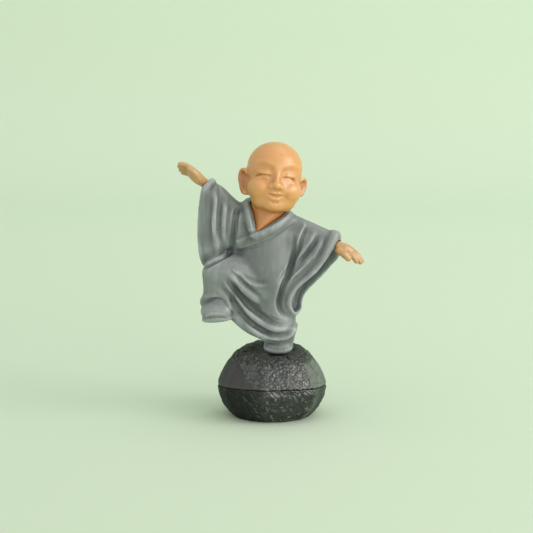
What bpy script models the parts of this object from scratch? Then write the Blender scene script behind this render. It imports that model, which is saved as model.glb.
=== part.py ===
"""A miniature monk figurine: a child monk balances on one foot on a two-part black rock.

The robe with both slippers is one moulding. The head with its neck and the two hands are
plugs of a skin-coloured plastic that sit in sockets in the robe. The rock is an upper and a
lower half that meet at a seam.

The figure is drawn in hundredths of its own height, from the middle of the standing sole:
X to the viewer's right, Y away from the viewer, Z up.
"""

import math

import bmesh
import bpy
import numpy as np
from mathutils import Matrix, Vector
from mathutils.bvhtree import BVHTree

# Sizes in metres
FIGURE_HEIGHT = 0.064
ROCK_WIDTH = 0.0332
ROCK_DEPTH = 0.0304
ROCK_HEIGHT = 0.0192
SEAM_HEIGHT = 0.0092
MOULD_GAP = 0.0003
SLEEVE_WALL = 0.0009
UPPER_SLEEVE_WALL = 0.0011
FOOT_OFFSET = 0.0015

# The pose was drawn as seen from a little above
VIEW_TILT = math.radians(10)

UNIT = FIGURE_HEIGHT / 100
GAP = MOULD_GAP / UNIT
WALL = SLEEVE_WALL / UNIT
UPPER_WALL = UPPER_SLEEVE_WALL / UNIT

# Fineness of the clay while it is massed and while it is carved, in hundredths of the height
MASS_GRAIN = 0.8
GRAIN = 0.6
HEAD_GRAIN = 0.5
HAND_GRAIN = 0.35
SOCKET_GRAIN = 0.45

# Triangles left in each piece
ROBE_TRIANGLES = 6000
HEAD_TRIANGLES = 1900
HAND_TRIANGLES = 520

SKIN = (0.66, 0.38, 0.17)
ROBE_GREY = (0.27, 0.29, 0.28)
ROCK_BLACK = (0.035, 0.037, 0.036)


def seen(across, up, depth):
    """The place that shows at (across, up) on the drawing and lies `depth` behind the ankle."""
    return Vector((across, depth, (up - depth * math.sin(VIEW_TILT)) / math.cos(VIEW_TILT)))


def flowing(rows, steps):
    """Rows of numbers read along a smooth curve through them, `steps` readings from row to row."""
    rows = np.array(rows, float)
    ends = np.vstack([2 * rows[0] - rows[1], rows, 2 * rows[-1] - rows[-2]])
    read = []
    for i in range(len(rows) - 1):
        a, b, c, d = ends[i : i + 4]
        for t in np.arange(steps) / steps:
            read.append(
                0.5 * (2 * b + (c - a) * t + (2 * a - 5 * b + 4 * c - d) * t**2
                       + (3 * b - a - 3 * c + d) * t**3)
            )
    return np.array([*read, rows[-1]])


# The share of a big fold's length over which it rises from the cloth
FOLD_FADE = 0.24

# The drawing board's axes: across, into the picture and up
BOARD = Matrix((
    (1, 0, 0),
    (0, math.cos(VIEW_TILT), math.sin(VIEW_TILT)),
    (0, -math.sin(VIEW_TILT), math.cos(VIEW_TILT)),
))


class Clay:
    """Closed shells that are pressed into one another and then fused into one body."""

    def __init__(self):
        self.shells = bmesh.new()

    def ball(self, centre, radii, turn=None):
        """An ellipsoid with the given half axes, turned by a rotation matrix."""
        place = Matrix.Translation(Vector(centre))
        if turn is not None:
            place = place @ turn.to_4x4()
        bmesh.ops.create_uvsphere(
            self.shells, u_segments=32, v_segments=20, radius=1,
            matrix=place @ Matrix.Diagonal((*radii, 1)),
        )

    def loft(self, sections, steps=5, sides=28, round_ends=(1, 1)):
        """A body through elliptical sections, each a centre, one half axis and the other."""
        rows = flowing([[*c, *a, *b] for c, a, b in sections], steps)
        rings = [(row[0:3], row[3:6], row[6:9]) for row in rows]
        rings = [*dome(rings, 0, round_ends[0])[::-1], *rings, *dome(rings, -1, round_ends[1])]
        angles = 2 * math.pi * np.arange(sides) / sides
        self.skin([
            centre + np.outer(np.cos(angles), first) + np.outer(np.sin(angles), second)
            for centre, first, second in rings
        ])

    def rope(self, path, radii, steps=5, sides=14):
        """A round tapered cord through the points, its ends domed."""
        rows = flowing([[*p, r] for p, r in zip(path, radii)], steps)
        self.loft(around(rows[:, :3], rows[:, 3], rows[:, 3]), steps=1, sides=sides)

    def skin(self, rings):
        """A body through rings of points, closed with a fan at each end."""
        loops = [[self.shells.verts.new(p) for p in ring] for ring in rings]
        sides = len(loops[0])
        for lower, upper in zip(loops, loops[1:]):
            for i in range(sides):
                j = (i + 1) % sides
                self.shells.faces.new((lower[i], lower[j], upper[j], upper[i]))
        for loop, ring, flip in ((loops[0], rings[0], True), (loops[-1], rings[-1], False)):
            tip = self.shells.verts.new(np.mean(ring, axis=0))
            for i in range(sides):
                corner = (loop[i], loop[(i + 1) % sides], tip)
                self.shells.faces.new(corner[::-1] if flip else corner)

    def add(self, mesh):
        self.shells.from_mesh(mesh)

    def fold(self, carver, line, radius, rise):
        """A cord sunk in the carved surface so that it stands out by `rise`, less at its ends."""
        path, normals = carver.laid(line)
        share = np.linspace(0, 1, len(path))
        fade = np.clip(np.minimum(share, 1 - share) / FOLD_FADE, 0, 1)
        radii = radius - rise * (1 - fade)
        self.loft(around(path - normals * (radius - rise), radii, radii), steps=1, sides=14)

    def mesh(self, name):
        bmesh.ops.recalc_face_normals(self.shells, faces=self.shells.faces)
        made = bpy.data.meshes.new(name)
        self.shells.to_mesh(made)
        self.shells.free()
        return made


def dome(rings, end, roundness):
    """Three shrinking rings beyond one end of a loft, which round it off."""
    centre, first, second = rings[end]
    inner = rings[1 if end == 0 else -2][0]
    out = centre - inner
    out = out / max(np.linalg.norm(out), 1e-9)
    reach = roundness * min(np.linalg.norm(first), np.linalg.norm(second))
    turns = [math.radians(a) for a in (30, 57, 80)]
    return [
        (centre + out * reach * math.sin(t), first * math.cos(t), second * math.cos(t))
        for t in turns
    ]


def around(line, first_radii, second_radii):
    """Sections square to a line of points, carried along it without twist."""
    along = np.gradient(line, axis=0)
    along /= np.linalg.norm(along, axis=1)[:, None]
    side = np.cross(along[0], (0.3, 1, 0.2))
    sections = []
    for point, way, first, second in zip(line, along, first_radii, second_radii):
        side = side - way * side.dot(way)
        side /= np.linalg.norm(side)
        sections.append((point, side * first, np.cross(way, side) * second))
    return sections


def place(name, mesh, colour, roughness, smooth=True):
    """An object of this name in the scene, with a plain material of its own."""
    mesh.polygons.foreach_set("use_smooth", [smooth] * len(mesh.polygons))
    made = bpy.data.objects.new(name, mesh)
    bpy.context.scene.collection.objects.link(made)
    material = bpy.data.materials.new(name)
    material.use_nodes = True
    shader = material.node_tree.nodes["Principled BSDF"]
    shader.inputs["Base Color"].default_value = (*colour, 1)
    shader.inputs["Roughness"].default_value = roughness
    made.data.materials.clear()
    made.data.materials.append(material)
    return made


def modified(mesh, *modifiers):
    """The mesh after a stack of modifiers, each a type and its settings."""
    holder = bpy.data.objects.new("holder", mesh)
    bpy.context.scene.collection.objects.link(holder)
    for kind, settings in modifiers:
        modifier = holder.modifiers.new(kind, kind)
        for key, value in settings.items():
            setattr(modifier, key, value)
    graph = bpy.context.evaluated_depsgraph_get()
    made = bpy.data.meshes.new_from_object(holder.evaluated_get(graph))
    bpy.data.objects.remove(holder)
    return made


def fused(clay, softness, grain=MASS_GRAIN):
    """The clay's shells as one closed smooth skin, its creases softened."""
    return modified(
        clay.mesh("clay"),
        ("REMESH", {"mode": "VOXEL", "voxel_size": grain}),
        ("SMOOTH", {"factor": 0.5, "iterations": softness}),
        ("SUBSURF", {"levels": 1, "render_levels": 1}),
    )


def regrained(mesh, grain, softness=2):
    """The same skin in even small faces, ready for carving."""
    return modified(
        mesh,
        ("REMESH", {"mode": "VOXEL", "voxel_size": grain}),
        ("SMOOTH", {"factor": 0.5, "iterations": softness}),
    )


def cut(mesh, *cutters):
    """The mesh less each cutter, which is another mesh."""
    for cutter in cutters:
        tool = bpy.data.objects.new("cutter", cutter)
        bpy.context.scene.collection.objects.link(tool)
        mesh = modified(
            mesh, ("BOOLEAN", {"operation": "DIFFERENCE", "object": tool, "solver": "EXACT"})
        )
        bpy.data.objects.remove(tool)
    return mesh


def whole(mesh):
    """The largest connected body of the mesh, without crumbs left by the cuts."""
    form = bmesh.new()
    form.from_mesh(mesh)
    left = set(form.verts)
    bodies = []
    while left:
        body, front = set(), [left.pop()]
        while front:
            vert = front.pop()
            body.add(vert)
            for edge in vert.link_edges:
                other = edge.other_vert(vert)
                if other in left:
                    left.remove(other)
                    front.append(other)
        bodies.append(body)
    largest = max(bodies, key=len)
    crumbs = [v for v in form.verts if v not in largest]
    bmesh.ops.delete(form, geom=crumbs, context="VERTS")
    form.to_mesh(mesh)
    form.free()
    return mesh


def thinned(mesh, triangles):
    """The mesh brought down to about this many triangles."""
    mesh = whole(mesh)
    mesh.calc_loop_triangles()
    share = min(1, triangles / len(mesh.loop_triangles))
    return modified(mesh, ("DECIMATE", {"ratio": share, "use_collapse_triangulate": True}))


class Carver:
    """Raises ridges and sinks furrows in a mesh, along lines drawn on its front or back.

    The drawing's axes are the columns of `view`: across, into the picture and up.
    """

    def __init__(self, mesh, view=BOARD, centre=(0, 0, 0)):
        self.mesh = mesh
        self.centre = Vector(centre)
        self.view = view
        self.points = np.empty(len(mesh.vertices) * 3)
        mesh.vertices.foreach_get("co", self.points)
        self.points = self.points.reshape(-1, 3)
        self.normals = np.empty(len(mesh.vertices) * 3)
        mesh.vertices.foreach_get("normal", self.normals)
        self.normals = self.normals.reshape(-1, 3)
        self.tree = BVHTree.FromPolygons(
            [Vector(p) for p in self.points], [tuple(f.vertices) for f in mesh.polygons]
        )

    def laid(self, line, back=False, steps=6):
        """Points and normals of the surface under a line drawn on the front, or the back."""
        across, way, upward = (self.view.col[i] for i in range(3))
        if back:
            way = -way
        places, normals = [], []
        for x, up in flowing(line, steps):
            start = self.centre + across * x + upward * up - way * 100
            hit, normal, _, _ = self.tree.ray_cast(start, way)
            if hit is not None:
                places.append(hit)
                normals.append(normal)
        return np.array(places), np.array(normals)

    def near(self, line, reach, back):
        """The points within reach of a laid line: their index, distance and share along it."""
        path, _ = self.laid(line, back)
        if len(path) < 2:
            return np.array([], int), np.array([]), np.array([])
        inside = (self.points > path.min(0) - reach) & (self.points < path.max(0) + reach)
        index = np.flatnonzero(np.all(inside, axis=1))
        spots = self.points[index]
        nearest = np.full(len(index), np.inf)
        share = np.zeros(len(index))
        for i, (a, b) in enumerate(zip(path, path[1:])):
            span = b - a
            t = np.clip((spots - a) @ span / max(span @ span, 1e-9), 0, 1)
            distance = np.linalg.norm(spots - a - t[:, None] * span, axis=1)
            closer = distance < nearest
            nearest[closer] = distance[closer]
            share[closer] = (i + t[closer]) / (len(path) - 1)
        return index, nearest, share

    def raise_by(self, index, amount, back):
        facing = self.normals[index]
        towards = facing @ np.array(self.view.col[1]) * (-1 if back else 1)
        self.points[index] += facing * (amount * (towards < 0.4))[:, None]

    def press(self, centre, radii, height, turn=0.0, back=False):
        """A soft oval bump, or a dent where the height is below 0."""
        path, _ = self.laid([centre, (centre[0] + 0.01, centre[1])], back, steps=1)
        offset = self.points - path[0]
        across, way, upward = (np.array(self.view.col[i]) for i in range(3))
        x, y, z = offset @ across, offset @ way, offset @ upward
        u = (x * math.cos(turn) + z * math.sin(turn)) / radii[0]
        v = (z * math.cos(turn) - x * math.sin(turn)) / radii[1]
        far = np.sqrt(u * u + v * v + (y / (2 * max(radii))) ** 2)
        index = np.flatnonzero(far < 1)
        self.raise_by(index, height * (0.5 + 0.5 * np.cos(math.pi * far[index])), back)

    def stroke(self, line, width, height, back=False, taper=0.3):
        """A rounded ridge, or a furrow where the height is below 0, that fades at both ends."""
        index, nearest, share = self.near(line, width, back)
        fade = np.clip(np.minimum(share, 1 - share) / taper, 0, 1)
        profile = 0.5 + 0.5 * np.cos(math.pi * np.clip(nearest / width, 0, 1))
        self.raise_by(index, height * fade * fade * (3 - 2 * fade) * profile, back)

    def band(self, line, width, height, edge=0.7, back=False):
        """A flat raised strip with steep edges."""
        index, nearest, share = self.near(line, width + edge, back)
        rise = np.clip((width + edge / 2 - nearest) / edge, 0, 1)
        fade = np.clip(np.minimum(share, 1 - share) / 0.06, 0, 1)
        self.raise_by(index, height * fade * rise * rise * (3 - 2 * rise), back)

    def done(self, softness=1):
        self.mesh.vertices.foreach_set("co", self.points.ravel())
        self.mesh.update()
        return modified(self.mesh, ("SMOOTH", {"factor": 0.4, "iterations": softness}))


def upright(centre, half_width, half_depth):
    """A level elliptical section."""
    return (centre, Vector((half_width, 0, 0)), Vector((0, half_depth, 0)))


def torso(clay):
    rows = (
        (-3.3, 22, 1, 12.0, 9.5),
        (-5.0, 38, -1.5, 13.8, 11.5),
        (-5.0, 51, 0, 13.6, 10.2),
        (-4.3, 61, 1, 13.2, 8.6),
        (-3.9, 67, 2, 9.0, 6.5),
    )
    clay.loft([upright(seen(x, v, y), w, d) for x, v, y, w, d in rows])
    rim = (
        (-14.2, 70, -1), (-13.3, 64, -6), (-12.1, 58.4, -8), (-10.6, 54.6, -8.6), (-4.8, 56.5, -8.8),
        (0.8, 59.8, -7.4), (5.2, 64, -2.5), (5.4, 65.6, 3.5), (0, 69.5, 8), (-8, 71.5, 8), (-13.4, 71.2, 5),
        (-14.2, 70, -1),
    )
    clay.rope([seen(*p) for p in rim], [1.6] * len(rim))


# Each sleeve is drawn as loops from the shoulder to the mouth. A loop starts at its top,
# runs down the front, round the lowest point and up the back.
RIGHT_SLEEVE = (
    ((-9, 67, 2), (-11, 63, -6), (-13, 58, -7), (-14, 52, -7), (-14, 48, -5.5), (-13, 46, 0),
     (-14, 49, 5), (-14, 53, 6.5), (-13, 58, 7.5), (-11, 63, 6.5)),
    ((-17, 69.6, 1), (-20, 65, -6.5), (-22, 59, -7.6), (-23, 52.5, -7.6), (-23, 47.8, -6.5),
     (-22, 45.8, -1.5), (-22.5, 48, 4.5), (-23, 53, 6.5), (-22, 60, 7), (-19.5, 65, 6)),
    ((-24.2, 75, 0), (-27.5, 71, -6.5), (-29.5, 64, -7.8), (-30.5, 54.5, -8), (-30, 46.5, -7.4),
     (-28.5, 43, -2.5), (-29.5, 47, 4), (-30, 55, 6), (-29, 64, 6), (-26.5, 71, 5)),
    ((-30, 80.4, -0.5), (-33.4, 76.6, -5.8), (-35.3, 69.5, -6.4), (-36.1, 58, -6.8),
     (-35.6, 46.5, -6.4), (-34, 40.4, -2), (-34.5, 46, 3), (-35, 57, 4.5), (-34.2, 68.5, 4.8),
     (-32.4, 76.6, 4.4)),
)
LEFT_SLEEVE = (
    ((5, 63, 2), (4, 58, -5.5), (3.5, 50, -6.5), (2, 41, -6), (1, 34, -4), (1, 30, 0),
     (1, 34, 4), (2, 41, 6), (3.5, 50, 7), (4.5, 58, 6.5)),
    ((14, 60.8, 1), (12.5, 54.5, -6.5), (9.8, 46, -7.8), (6, 37, -8), (3.4, 28, -7.5),
     (4.5, 22, -2), (6, 26, 4.5), (8, 33, 6.5), (11, 43, 7.5), (13.5, 54, 6.5)),
    ((21.5, 57, 0), (18.4, 51, -6.8), (13.4, 41, -8.6), (6.4, 32.6, -8.8), (3.4, 24.5, -8.2),
     (5.2, 18.6, -3.5), (8.5, 20.5, 3), (10.5, 28, 5.5), (17.5, 39, 6.5), (22.5, 50, 5.5)),
    ((27.2, 55.4, -1), (23.3, 48.2, -6.5), (18.4, 39.4, -8.8), (8.6, 30.6, -9.6),
     (5.2, 22.8, -9.4), (7.6, 17.6, -4.5), (11.3, 20, 2), (13, 27.1, 4.5), (24.2, 39, 5),
     (28.6, 46.8, 3.5)),
)
SLEEVE_STEPS = 6
SLEEVE_SIDES = 60
FRONT_LIP = 1.3
BACK_LIP = 0.7
# Where along the ring the lip is full, thins out under the sleeve, is thin and fills up again
LIP_TURNS = (0, 0.46, 0.64, 0.92, 1)
# The top part of a sleeve's ring that holds the wrist, and how much thicker its wall is there
WRIST_SHARE = 0.17
WRIST_SEAT = 1.6


def stacked(loops):
    """Dense rings of points through a sleeve's drawn loops."""
    rings = []
    for loop in loops:
        placed = [seen(*p) for p in loop]
        closed = [placed[-2], placed[-1], *placed, placed[0], placed[1]]
        line = flowing(closed, 12)[24:-12]
        steps = np.linspace(0, len(line) - 1, SLEEVE_SIDES, endpoint=False)
        rings.append(line[np.round(steps).astype(int)].ravel())
    return flowing(rings, SLEEVE_STEPS).reshape(-1, SLEEVE_SIDES, 3)


def inward(ring):
    """The direction into a ring at each of its points, in the ring's own plane."""
    along = np.roll(ring, -1, axis=0) - np.roll(ring, 1, axis=0)
    spokes = ring - ring.mean(0)
    plane = np.cross(spokes, np.roll(spokes, -1, axis=0)).sum(0)
    into = np.cross(plane, along)
    return into / np.linalg.norm(into, axis=1)[:, None]


def over_wrist():
    """How near each point of a sleeve's ring lies to its top, where the wrist comes out."""
    turn = np.arange(SLEEVE_SIDES) / SLEEVE_SIDES
    return np.clip(1 - np.minimum(turn, 1 - turn) / WRIST_SHARE, 0, 1) ** 0.7


def hollow(rings, depth, wall):
    """A cutter that opens the mouth of a sleeve, `depth` rings deep, and spares the wrist's seat."""
    thickness = wall + WRIST_SEAT * over_wrist()
    inner = [ring + inward(ring) * thickness[:, None] for ring in rings[-depth:]]
    out = inner[-1].mean(0) - inner[-3].mean(0)
    out /= np.linalg.norm(out)
    ends = [inner[0].mean(0) + (inner[0] - inner[0].mean(0)) * s - out * d
            for s, d in ((0.35, 1.6), (0.75, 1.0))]
    clay = Clay()
    clay.skin([*ends, *inner, inner[-1] + out * 3, inner[-1] + out * 6])
    return modified(clay.mesh("hollow"), ("REMESH", {"mode": "VOXEL", "voxel_size": SOCKET_GRAIN}))


def sleeves(clay):
    clay.rope([seen(-9, 62.5, 1), seen(-19, 65.5, 0), seen(-28, 75, -1)], (6.5, 5.0, 3.8))
    clay.rope([seen(4, 60, 1), seen(15, 56.5, 0), seen(25, 53, -1)], (6.0, 4.8, 3.8))
    for loops in (RIGHT_SLEEVE, LEFT_SLEEVE):
        clay.skin(stacked(loops))


def cuff(clay, loops, wall, top_swell):
    """The rolled lip round a sleeve's mouth, thickest over the wrist."""
    rings = stacked(loops)
    mouth = rings[-1] + inward(rings[-1]) * wall / 2
    turn = np.arange(SLEEVE_SIDES) / SLEEVE_SIDES
    lip = np.interp(turn, LIP_TURNS, (FRONT_LIP, FRONT_LIP, BACK_LIP, BACK_LIP, FRONT_LIP))
    swell = lip + top_swell * over_wrist()
    closed = np.vstack([mouth, mouth[:1]])
    swell = np.append(swell, swell[0])
    clay.loft(around(closed, swell, swell), steps=1, sides=12, round_ends=(0.2, 0.2))


def skirt(clay):
    standing = (
        (-4.5, 30, 0, 12.5, 10),
        (-1.5, 19, -0.5, 10.2, 9.4),
        (0.6, 12, -1, 8.5, 8.7),
        (1.0, 8.2, -1, 7.8, 7.5),
    )
    clay.loft([upright(seen(x, v, y), w, d) for x, v, y, w, d in standing])
    clay.rope([seen(-7, 30, -2), seen(-18, 37, -5.5), seen(-26.2, 37.8, -8)], (10, 9, 8.5))
    shin = (
        (-26.6, 38, -8, 8.6, 8),
        (-27.0, 31, -7.4, 7.5, 7.4),
        (-27.6, 26.6, -7.2, 7.0, 6.6),
    )
    clay.loft([upright(seen(x, v, y), w, d) for x, v, y, w, d in shin], round_ends=(0.4, 0.1))
    clay.rope([seen(-22, 33, -3), seen(-14, 22, -1.5), seen(-5, 14, -1)], (6.5, 6.6, 7.2))
    for depth, inset in ((-7.4, 0), (-4, 0.3), (0, 0.6), (4, 1.0), (7, 2.0)):
        clay.rope([seen(x + inset / 2, v + inset, depth) for x, v in HEM], [2.0] * len(HEM))
    clay.ball(seen(6.2, 10.4, -3.4), (3.0, 4.4, 4.5))
    clay.rope([seen(*p) for p in FOOT_HEM], [1.35] * len(FOOT_HEM))
    clay.ball(seen(-34.6, 23.8, -8), (1.7, 3.0, 2.4))


HEM = (
    (-21.6, 20), (-19.4, 15.8), (-14.8, 11.6), (-10.6, 9.2), (-6, 7.6), (-0.8, 6.5), (5, 7.4),
    (7.6, 10.4),
)
FOOT_HEM = (
    (-34.6, 22.4, -7.6), (-34.6, 24.8, -9), (-32.4, 26.3, -11.6), (-28.6, 26.8, -13.2),
    (-24.6, 25.2, -12.6), (-21.6, 22.6, -10.6), (-20, 18.8, -8.2), (-19.2, 16, -6),
)

# Big folds of the cloth: line, radius, rise above the cloth they lie on
GREAT_FOLDS = (
    ([(-21.8, 39.6), (-19.5, 37.8), (-17, 35.8), (-14, 33.4), (-11, 31.9), (-8, 31.2), (-3.5, 31.4)],
     1.3, 0.8),
    ([(-23.5, 37), (-21.5, 35.6), (-19.3, 33.6), (-17, 30.8), (-14, 27.8), (-11, 25.4), (-8.3, 23.2),
      (-5, 21)], 1.8, 1.3),
    ([(-26, 34.5), (-23.8, 32), (-21.2, 28.6), (-18.6, 24.9), (-15.2, 20.6), (-12, 17.6), (-9.3, 15.4),
      (-6, 13.2), (-2, 11.4), (1.5, 10.9), (5, 11.2), (8, 12.6)], 2.3, 1.9),
    ([(-29.5, 31), (-26, 28.4), (-22.4, 25.6), (-20, 23), (-17.7, 19.4), (-15.6, 15.8), (-13.2, 12.6),
      (-10.4, 10), (-7.5, 8), (-4.5, 6.6), (-1, 6.1), (3, 6.3), (6.4, 7.6), (8.4, 10)], 2.1, 1.5),
    ([(-29.6, 78), (-29, 72.8), (-29.2, 64), (-29, 56), (-27.8, 49), (-28, 44.5)], 2.3, 1.5),
    ([(-23.4, 73), (-24.2, 67), (-24.9, 60.2), (-25, 54), (-24, 48.6)], 1.9, 1.1),
    ([(12, 62), (12.6, 59), (11, 55), (9.4, 50.6), (8, 46.4)], 1.4, 0.8),
    ([(17, 58.6), (16.6, 54.4), (14, 50), (10.8, 45.6), (8, 42)], 1.6, 0.8),
    ([(20.6, 54), (19.8, 50), (17.4, 45.6), (14, 41.6), (10.6, 38), (7, 34.6), (4.8, 30.6), (3.6, 26)],
     1.6, 0.9),
    ([(-20, 49.5), (-12, 50.2), (-4, 52.6), (2, 55.6)], 1.6, 0.3),
)


def slippers(clay):
    """The standing foot, level on the rock, and the raised one with its toe tipped up."""
    clay.loft(
        [
            ((0.3, 6.0, 3.4), (5.4, 0, 0), (0, 0, 3.4)),
            ((0.5, 1.0, 3.4), (6.4, 0, 0), (0, 0, 3.4)),
            ((0.5, -4.5, 3.1), (7.3, 0, 0), (0, 0, 3.1)),
            ((0.6, -6.5, 2.9), (6.9, 0, 0), (0, 0, 2.9)),
        ],
        round_ends=(0.8, 0.9),
    )
    clay.rope([seen(-0.2, 11, 0), (0.3, 2, 5.8)], (6.6, 6.3))
    toe, heel = seen(-28.3, 19.6, -13.5), seen(-27.2, 21.5, -2)
    lift = Vector((-0.05, 0.2, 1))
    clay.loft(
        [
            (heel, (5.6, 0, 0), lift * 4.0),
            ((toe + heel) / 2, (6.8, 0, 0), lift * 4.8),
            (toe, (7.7, 0, 0.4), lift * 4.6),
        ],
        round_ends=(0.8, 0.85),
    )
    sole = [seen(-28.2, 15.4, -15), seen(-27.8, 15.9, -9), seen(-27.2, 16.8, -1)]
    clay.loft(
        [(p, (w, 0, 0.6), lift * 1.3) for p, w in zip(sole, (7.4, 7.8, 5.8))],
        round_ends=(1.8, 2.5),
    )


def neck_sections():
    """The neck plug, narrowing to the point of the collar's V."""
    rows = (
        (-2.8, 76, 0.5, 7.8, 6.8),
        (-3.6, 70, -0.3, 8.6, 7.2),
        (-4.2, 65, -1.6, 7.4, 6.4),
        (-6.9, 60, -3.7, 3.9, 4.8),
        (-9.0, 57.0, -4.9, 1.6, 3.6),
    )
    return [upright(seen(x, v, y), w, d) for x, v, y, w, d in rows]


# Raised bands: line, half width, height
LAPELS = (
    ([(-15.4, 71.5), (-14.2, 65.4), (-13.2, 60), (-12.2, 56.2)], 1.5, 0.5),
    ([(9, 66), (6.4, 62.6), (1.6, 58.8), (-3, 56), (-8.5, 53.8), (-14, 51.8), (-19.5, 49.8)], 2.4, 0.7),
)

# Folds: line, half width, height
FRONT_FOLDS = (
    ([(-24.8, 44.2), (-22.6, 46.2), (-20.9, 49.2), (-20.4, 53)], 1.9, -1.2),
    ([(-15.8, 68.5), (-18.7, 65.5), (-19.9, 60), (-20.8, 52.7), (-21.7, 47)], 2.3, -1.9),
    ([(-30.2, 74), (-30.5, 70), (-31, 65), (-31.4, 58), (-30.4, 50)], 2.1, -0.8),
    ([(-26.8, 75), (-26.5, 69), (-27, 63), (-27, 56), (-25.9, 49)], 1.9, -0.9),
    ([(-21.4, 70), (-22, 65), (-22.6, 58), (-22.6, 51)], 1.6, -0.7),
    ([(-34.9, 71), (-35.1, 62), (-35, 52), (-34.4, 44)], 0.8, -0.45),
    ([(-35.2, 38.4), (-33.8, 39.4), (-31.4, 40.8), (-28, 42.8), (-24.6, 44.6), (-21.8, 46.2),
      (-19.4, 47.4)], 1.7, -1.5),
    ([(-34.2, 38.6), (-34.3, 33), (-34, 27.6)], 0.8, -0.6),
    ([(7.6, 58), (8, 52), (7.9, 47), (6.9, 41.5), (5, 36), (3.2, 31.8), (1.9, 27.6), (1.1, 23.8),
      (1.8, 20), (4.2, 17.2), (8, 16)], 2.1, -2.4),
    ([(14.6, 60), (12.8, 56.4), (10.8, 50.8), (9, 45.8), (6.9, 41)], 1.6, -1.2),
    ([(19, 56), (18, 52), (15, 47.8), (11.8, 44), (8.8, 40.6)], 1.7, -1.2),
    ([(17.4, 45), (15.8, 42), (12.6, 38.4), (9.2, 35.4), (6, 32.6)], 1.2, -0.5),
    ([(23.6, 56.6), (22.2, 52.4), (20.5, 48.2), (18.6, 44.2), (16.2, 40.4), (13, 36.8), (9.6, 33.4),
      (6.8, 30)], 1.3, -0.45),
    ([(-20.4, 38), (-18.3, 35.8), (-15.6, 32.8), (-12.6, 29.8), (-9.4, 27.4), (-6, 25.6)], 1.8, -0.9),
    ([(-22.6, 35.4), (-20.8, 32.4), (-18.4, 28.8), (-16.2, 25.6), (-13.4, 22), (-10.2, 19.4),
      (-6.4, 16.9), (-3, 14.9), (1, 13.7), (5, 13.6)], 2.6, -1.1),
    ([(-28, 31.8), (-24.6, 28.9), (-21.4, 25.9), (-18.7, 21.8), (-16, 18), (-13, 14.4), (-9, 11.4),
      (-5, 9.6), (-0.5, 8.4), (4, 7.8)], 2.4, -0.9),
    ([(-17.5, 38.5), (-14.5, 35.2), (-11, 33.4), (-7, 32.8), (-3, 33.4)], 1.8, -0.5),
    ([(-34, 21.6), (-32.6, 23.6), (-30, 25), (-27, 25.2), (-24, 23.5), (-21.8, 21), (-20.5, 18),
      (-19.6, 15.6)], 1.0, -0.8),
    ([(-35.2, 15.2), (-32, 16.3), (-29, 16.6), (-24.5, 16.4), (-21.0, 15.7)], 0.7, -0.7),
    ([(-34.8, 16.4), (-31.2, 18.2), (-27, 18.3), (-22.6, 17.4)], 0.8, 0.3),
    ([(-5.6, 4.6), (-5.0, 2.8), (-2, 1.5), (2.3, 1.2), (6.2, 2.6), (7.2, 4.6)], 0.6, -0.5),
    ([(-7, 6.2), (-3, 4.9), (1.5, 4.7), (5.4, 5.7), (8.4, 8.2)], 1.0, -1.1),
)
COLLAR_LINES = (
    ([(6.2, 63.4), (3.4, 61), (0.2, 58.8), (-4, 56.8), (-8.5, 55.2), (-13, 53.2), (-18.6, 50.6)], 0.8, -0.6),
    ([(8.6, 62.2), (4.4, 59), (0, 56.2), (-4.4, 53.8), (-10, 51.8), (-15, 50.2), (-19.6, 48.2)], 0.8, -0.9),
    ([(-16, 69), (-14.8, 64), (-13.8, 60), (-12.3, 55.8)], 0.8, -0.7),
)

BACK_FOLDS = (
    ([(-14, 66), (-16, 55), (-20, 47)], 1.8, -1.3),
    ([(-24, 72), (-25, 60), (-27, 48)], 1.6, -0.9),
    ([(7, 60), (8.5, 48), (5.5, 36), (4.5, 25)], 1.8, -1.4),
    ([(15, 57), (14, 46), (10, 34)], 1.5, -0.9),
    ([(-9, 56), (-11, 42), (-13, 28)], 1.7, -0.8),
    ([(0, 54), (-0.5, 40), (-1.5, 24)], 1.7, -0.8),
    ([(-20, 36), (-12, 24), (-4, 15)], 1.7, -1.0),
)


def robe_mesh(grain, *plugs):
    """The robe, with a socket cut for each plug."""
    masses = Clay()
    torso(masses)
    sleeves(masses)
    skirt(masses)
    slippers(masses)
    base = fused(masses, 5)
    surface = Carver(base)
    draped = Clay()
    draped.add(base)
    for line, radius, rise in GREAT_FOLDS:
        draped.fold(surface, line, radius, rise)
    cuff(draped, RIGHT_SLEEVE, UPPER_WALL, 0.7)
    cuff(draped, LEFT_SLEEVE, WALL, 1.9)
    mesh = cut(
        fused(draped, 2, 0.6),
        hollow(stacked(RIGHT_SLEEVE), 5, UPPER_WALL),
        hollow(stacked(LEFT_SLEEVE), 7, WALL),
    )
    carver = Carver(regrained(mesh, grain))
    for line, width, height in LAPELS:
        carver.band(line, width, height)
    for line, width, height in FRONT_FOLDS + COLLAR_LINES:
        carver.stroke(line, width, height)
    for line, width, height in BACK_FOLDS:
        carver.stroke(line, width, height, back=True)
    mesh = cut(carver.done(), *(grown(plug) for plug in plugs))
    return regrained(mesh, grain, 1)


def grown(mesh):
    """A plug swollen by the moulding gap, to cut its socket with."""
    return modified(
        mesh.copy(),
        ("DISPLACE", {"strength": GAP, "mid_level": 0}),
        ("REMESH", {"mode": "VOXEL", "voxel_size": SOCKET_GRAIN}),
    )


HEAD_CENTRE = seen(-1.3, 82.9, -1)
HEAD_TURN = (
    Matrix.Rotation(math.radians(9), 3, "Y")
    @ Matrix.Rotation(math.radians(6), 3, "Z")
    @ Matrix.Rotation(math.radians(-5), 3, "X")
)

# How far the lower face lies to the viewer's right, as a share of its distance under the middle
JAW_SHIFT = 0.07

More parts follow.
